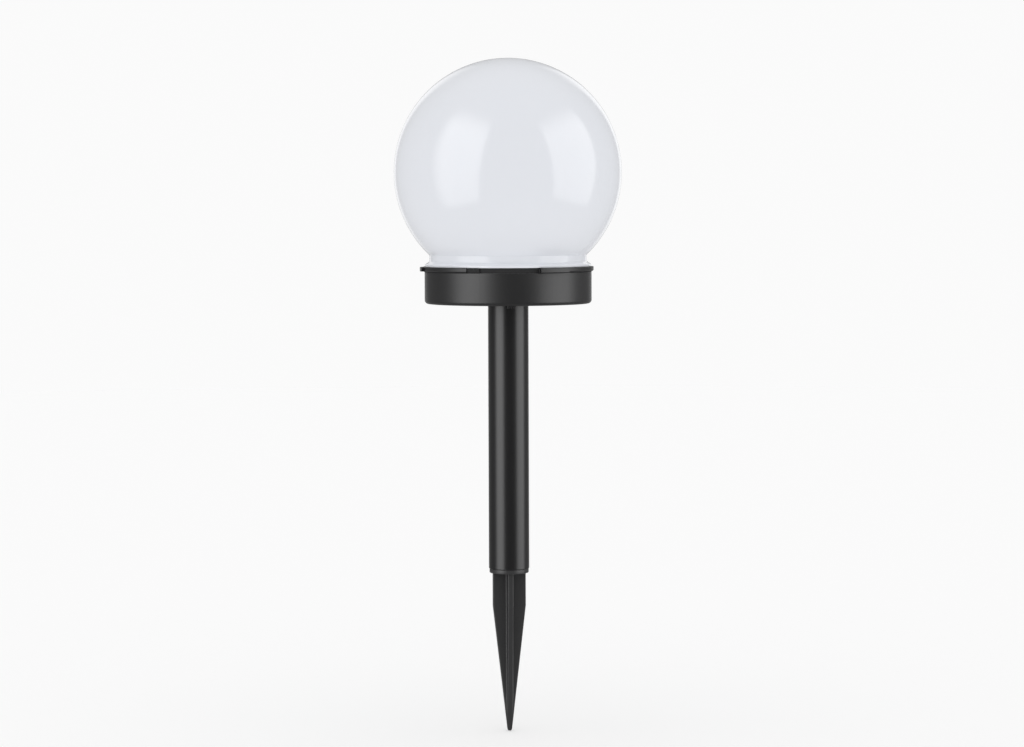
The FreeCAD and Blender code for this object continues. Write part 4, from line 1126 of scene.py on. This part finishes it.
class GARDEN_OT_screws(Operator):
    """Plated screws of the housing, board and switch"""

    bl_idname = "garden.screws"
    bl_label = "Screws"

    def execute(self, context):
        fittings = context.scene.garden_fittings
        steel = metal("screw_steel", fittings.steel, 0.26, run=(1, 1, 0.1))
        finish_nodes(steel, "housing_screws", "board_screws", "switch_screws")
        return {"FINISHED"}


# ---------------------------------------------------------------- studio


def floor_material(studio):
    """Pale floor that glows a little, so that it stays even, and is clear from below."""
    material, tree, shader = new_material("pale_floor", Roughness=0.9, Specular_IOR_Level=0.0)
    paper = grouped(tree, "Moulded grain", {
        "Colour": studio.floor_white,
        "Deep colour": studio.floor_white,
        "Grain size": 1 * MM,
        "Roughness": 0.9,
    })
    tree.links.new(paper.outputs["Colour"], shader.inputs["Base Color"])
    shader.inputs["Emission Color"].default_value = (1.0, 1.0, 1.0, 1.0)
    seen = node(tree, "ShaderNodeLightPath").outputs["Is Camera Ray"]
    glow = sum_of(tree, "MULTIPLY_ADD", seen, -studio.floor_dim, studio.floor_glow)
    tree.links.new(glow, shader.inputs["Emission Strength"])
    clear = node(tree, "ShaderNodeBsdfTransparent")
    below = node(tree, "ShaderNodeNewGeometry").outputs["Backfacing"]
    mixed = node(tree, "ShaderNodeMixShader", {0: below, 1: shader.outputs[0], 2: clear.outputs[0]})
    tree.links.new(mixed.outputs[0], tree.nodes["Material Output"].inputs["Surface"])
    return material


def make_floor(studio):
    level = foot("ground_stake")
    disc = bmesh.new()
    bmesh.ops.create_circle(disc, cap_ends=True, radius=studio.floor_radius, segments=128)
    bmesh.ops.translate(disc, verts=disc.verts, vec=(0, 0, level))
    floor = add_piece("pale_floor", disc, floor_material(studio))
    if floor.data.polygons[0].normal.z < 0:
        floor.data.flip_normals()
    floor.visible_glossy = False


def glow_material(name, light):
    """Even glow that falls off softly towards the four edges."""
    material, tree, shader = new_material(name)
    axes = axes_of(tree, own_place(tree))
    edges = (
        (sum_of(tree, "ADD", axes["X"], light.width / 2), light.left_fade),
        (sum_of(tree, "SUBTRACT", light.width / 2, axes["X"]), light.right_fade),
        (sum_of(tree, "ADD", axes["Y"], light.low), light.low_fade),
        (sum_of(tree, "SUBTRACT", light.high, axes["Y"]), light.high_fade),
    )
    glow = sum_of(tree, "MULTIPLY_ADD", axes["Y"], light.strength * light.rise, light.strength)
    for distance, width in edges:
        faded = spread_over(tree, distance, 0.0, width, interpolation_type="SMOOTHSTEP")
        glow = sum_of(tree, "MULTIPLY", faded, glow)
    lamp = node(tree, "ShaderNodeEmission", {"Strength": glow})
    clear = node(tree, "ShaderNodeBsdfTransparent")
    both = node(tree, "ShaderNodeAddShader", {0: lamp.outputs[0], 1: clear.outputs[0]})
    tree.links.new(both.outputs[0], tree.nodes["Material Output"].inputs["Surface"])
    tree.nodes.remove(shader)
    return material


def soft_light(name, studio, light):
    """Tall glowing sheet facing the ball, seen only in gloss."""
    centre = Vector((0, 0, top("globe") - reach("globe")))
    angle = -math.pi / 2 + studio.camera_turn + light.middle
    rise = studio.light_rise
    level = Vector((math.cos(angle), math.sin(angle), 0))
    away = level * math.cos(rise) + Vector((0, 0, math.sin(rise)))
    sheet = bmesh.new()
    half = light.width / 2
    corners = ((-half, -light.low), (half, -light.low), (half, light.high), (-half, light.high))
    sheet.faces.new([sheet.verts.new((across, up, 0)) for across, up in corners])
    panel = add_piece(name, sheet, glow_material(name, light))
    panel.location = centre + away * studio.light_reach
    panel.rotation_euler = away.to_track_quat("Z", "Y").to_euler()
    panel.visible_camera = False
    panel.visible_diffuse = False
    panel.visible_shadow = False
    panel.visible_transmission = False


def make_sky(studio):
    """Even white all round, with a darker studio in front for gloss to mirror."""
    sky = bpy.data.worlds.new("Studio")
    bpy.context.scene.world = sky
    sky.use_nodes = True
    tree = sky.node_tree
    tree.nodes.clear()
    rays = node(tree, "ShaderNodeLightPath")
    place = node(tree, "ShaderNodeTexCoord").outputs["Generated"]
    to_back = Vector((-math.sin(studio.camera_turn), math.cos(studio.camera_turn), 0))
    towards = node(tree, "ShaderNodeVectorMath", {0: place, 1: to_back}, operation="DOT_PRODUCT")
    facing = towards.outputs["Value"]
    mirrored = node(tree, "ShaderNodeMapRange", {
        "Value": facing,
        "From Min": -1.0,
        "From Max": 1.0,
        "To Min": studio.front_dark,
        "To Max": studio.back_bright,
    }).outputs["Result"]
    rise = axes_of(tree, place)["Z"]
    below = node(tree, "ShaderNodeMapRange", {
        "Value": rise, "From Min": -0.25, "From Max": -0.8, "To Max": studio.floor_bright,
    }, interpolation_type="SMOOTHSTEP").outputs["Result"]
    above = node(tree, "ShaderNodeMapRange", {
        "Value": rise, "From Min": 0.6, "From Max": 1.0, "To Max": studio.top_bright,
    }, interpolation_type="SMOOTHSTEP").outputs["Result"]
    mirrored = sum_of(tree, "ADD", mirrored, sum_of(tree, "ADD", below, above))
    glossy = rays.outputs["Is Glossy Ray"]
    direct = rays.outputs["Is Camera Ray"]
    dimmed = node(tree, "ShaderNodeMix", {"Factor": glossy, 2: studio.sky, 3: mirrored})
    light = node(tree, "ShaderNodeBackground", {"Strength": dimmed.outputs[0]})
    seen = node(tree, "ShaderNodeBackground", {"Strength": studio.backdrop})
    mixed = node(tree, "ShaderNodeMixShader", {0: direct, 1: light.outputs[0], 2: seen.outputs[0]})
    for background in (light, seen):
        background.inputs["Color"].default_value = (1.0, 1.0, 1.0, 1.0)
    output = node(tree, "ShaderNodeOutputWorld")
    tree.links.new(mixed.outputs[0], output.inputs["Surface"])


def make_camera(studio):
    lens = bpy.data.cameras.new("Studio camera")
    lens.lens = studio.lens
    lens.sensor_width = 36.0
    lens.clip_start = 0.05
    lens.clip_end = 20.0
    camera = bpy.data.objects.new("Studio camera", lens)
    bpy.context.scene.collection.objects.link(camera)
    angle = studio.camera_turn
    back = Vector((math.sin(angle), -math.cos(angle), 0.0))
    side = Vector((math.cos(angle), math.sin(angle), 0.0))
    camera.location = back * studio.camera_distance + side * studio.camera_side
    camera.location.z = studio.camera_height
    look = -back * math.cos(studio.camera_tilt) - Vector((0, 0, math.sin(studio.camera_tilt)))
    camera.rotation_mode = "QUATERNION"
    roll = Quaternion((0, 0, 1), -studio.camera_roll)
    camera.rotation_quaternion = look.to_track_quat("-Z", "Y") @ roll
    bpy.context.scene.camera = camera


class GARDEN_OT_studio(Operator):
    """Pale floor, even light, four soft lights and the camera"""

    bl_idname = "garden.studio"
    bl_label = "Studio"

    def execute(self, context):
        studio = context.scene.garden_studio
        make_camera(studio)
        make_floor(studio)
        make_sky(studio)
        for side in ("left", "right", "back_left", "back_right"):
            soft_light(side + "_soft_light", studio, getattr(context.scene, "garden_%s_light" % side))
        context.scene.view_settings.view_transform = "Standard"
        return {"FINISHED"}


PIECES = (
    GARDEN_OT_ball,
    GARDEN_OT_deck,
    GARDEN_OT_cup,
    GARDEN_OT_tube,
    GARDEN_OT_stake,
    GARDEN_OT_panel,
    GARDEN_OT_lamps,
    GARDEN_OT_battery,
    GARDEN_OT_switch,
    GARDEN_OT_screws,
    GARDEN_OT_studio,
)


class GARDEN_PT_sidebar(Panel):
    """Lists the pieces of the garden light and its studio"""

    bl_label = "Solar Garden Light"
    bl_idname = "GARDEN_PT_sidebar"
    bl_space_type = "VIEW_3D"
    bl_region_type = "UI"
    bl_category = "Garden Light"

    def draw(self, context):
        for piece in PIECES:
            self.layout.operator(piece.bl_idname)
        for group in SETTINGS:
            box = self.layout.box()
            settings = getattr(context.scene, group)
            for name in settings.__annotations__:
                box.prop(settings, name)


def register():
    for settings in SETTINGS.values():
        bpy.utils.register_class(settings)
    for piece in PIECES:
        bpy.utils.register_class(piece)
    bpy.utils.register_class(GARDEN_PT_sidebar)
    for name, settings in SETTINGS.items():
        setattr(bpy.types.Scene, name, PointerProperty(type=settings))


def unregister():
    for name in SETTINGS:
        delattr(bpy.types.Scene, name)
    bpy.utils.unregister_class(GARDEN_PT_sidebar)
    for piece in reversed(PIECES):
        bpy.utils.unregister_class(piece)
    for settings in SETTINGS.values():
        bpy.utils.unregister_class(settings)


def main():
    register()
    for piece in PIECES:
        group, name = piece.bl_idname.split(".")
        getattr(getattr(bpy.ops, group), name)()


if __name__ == "__main__":
    main()
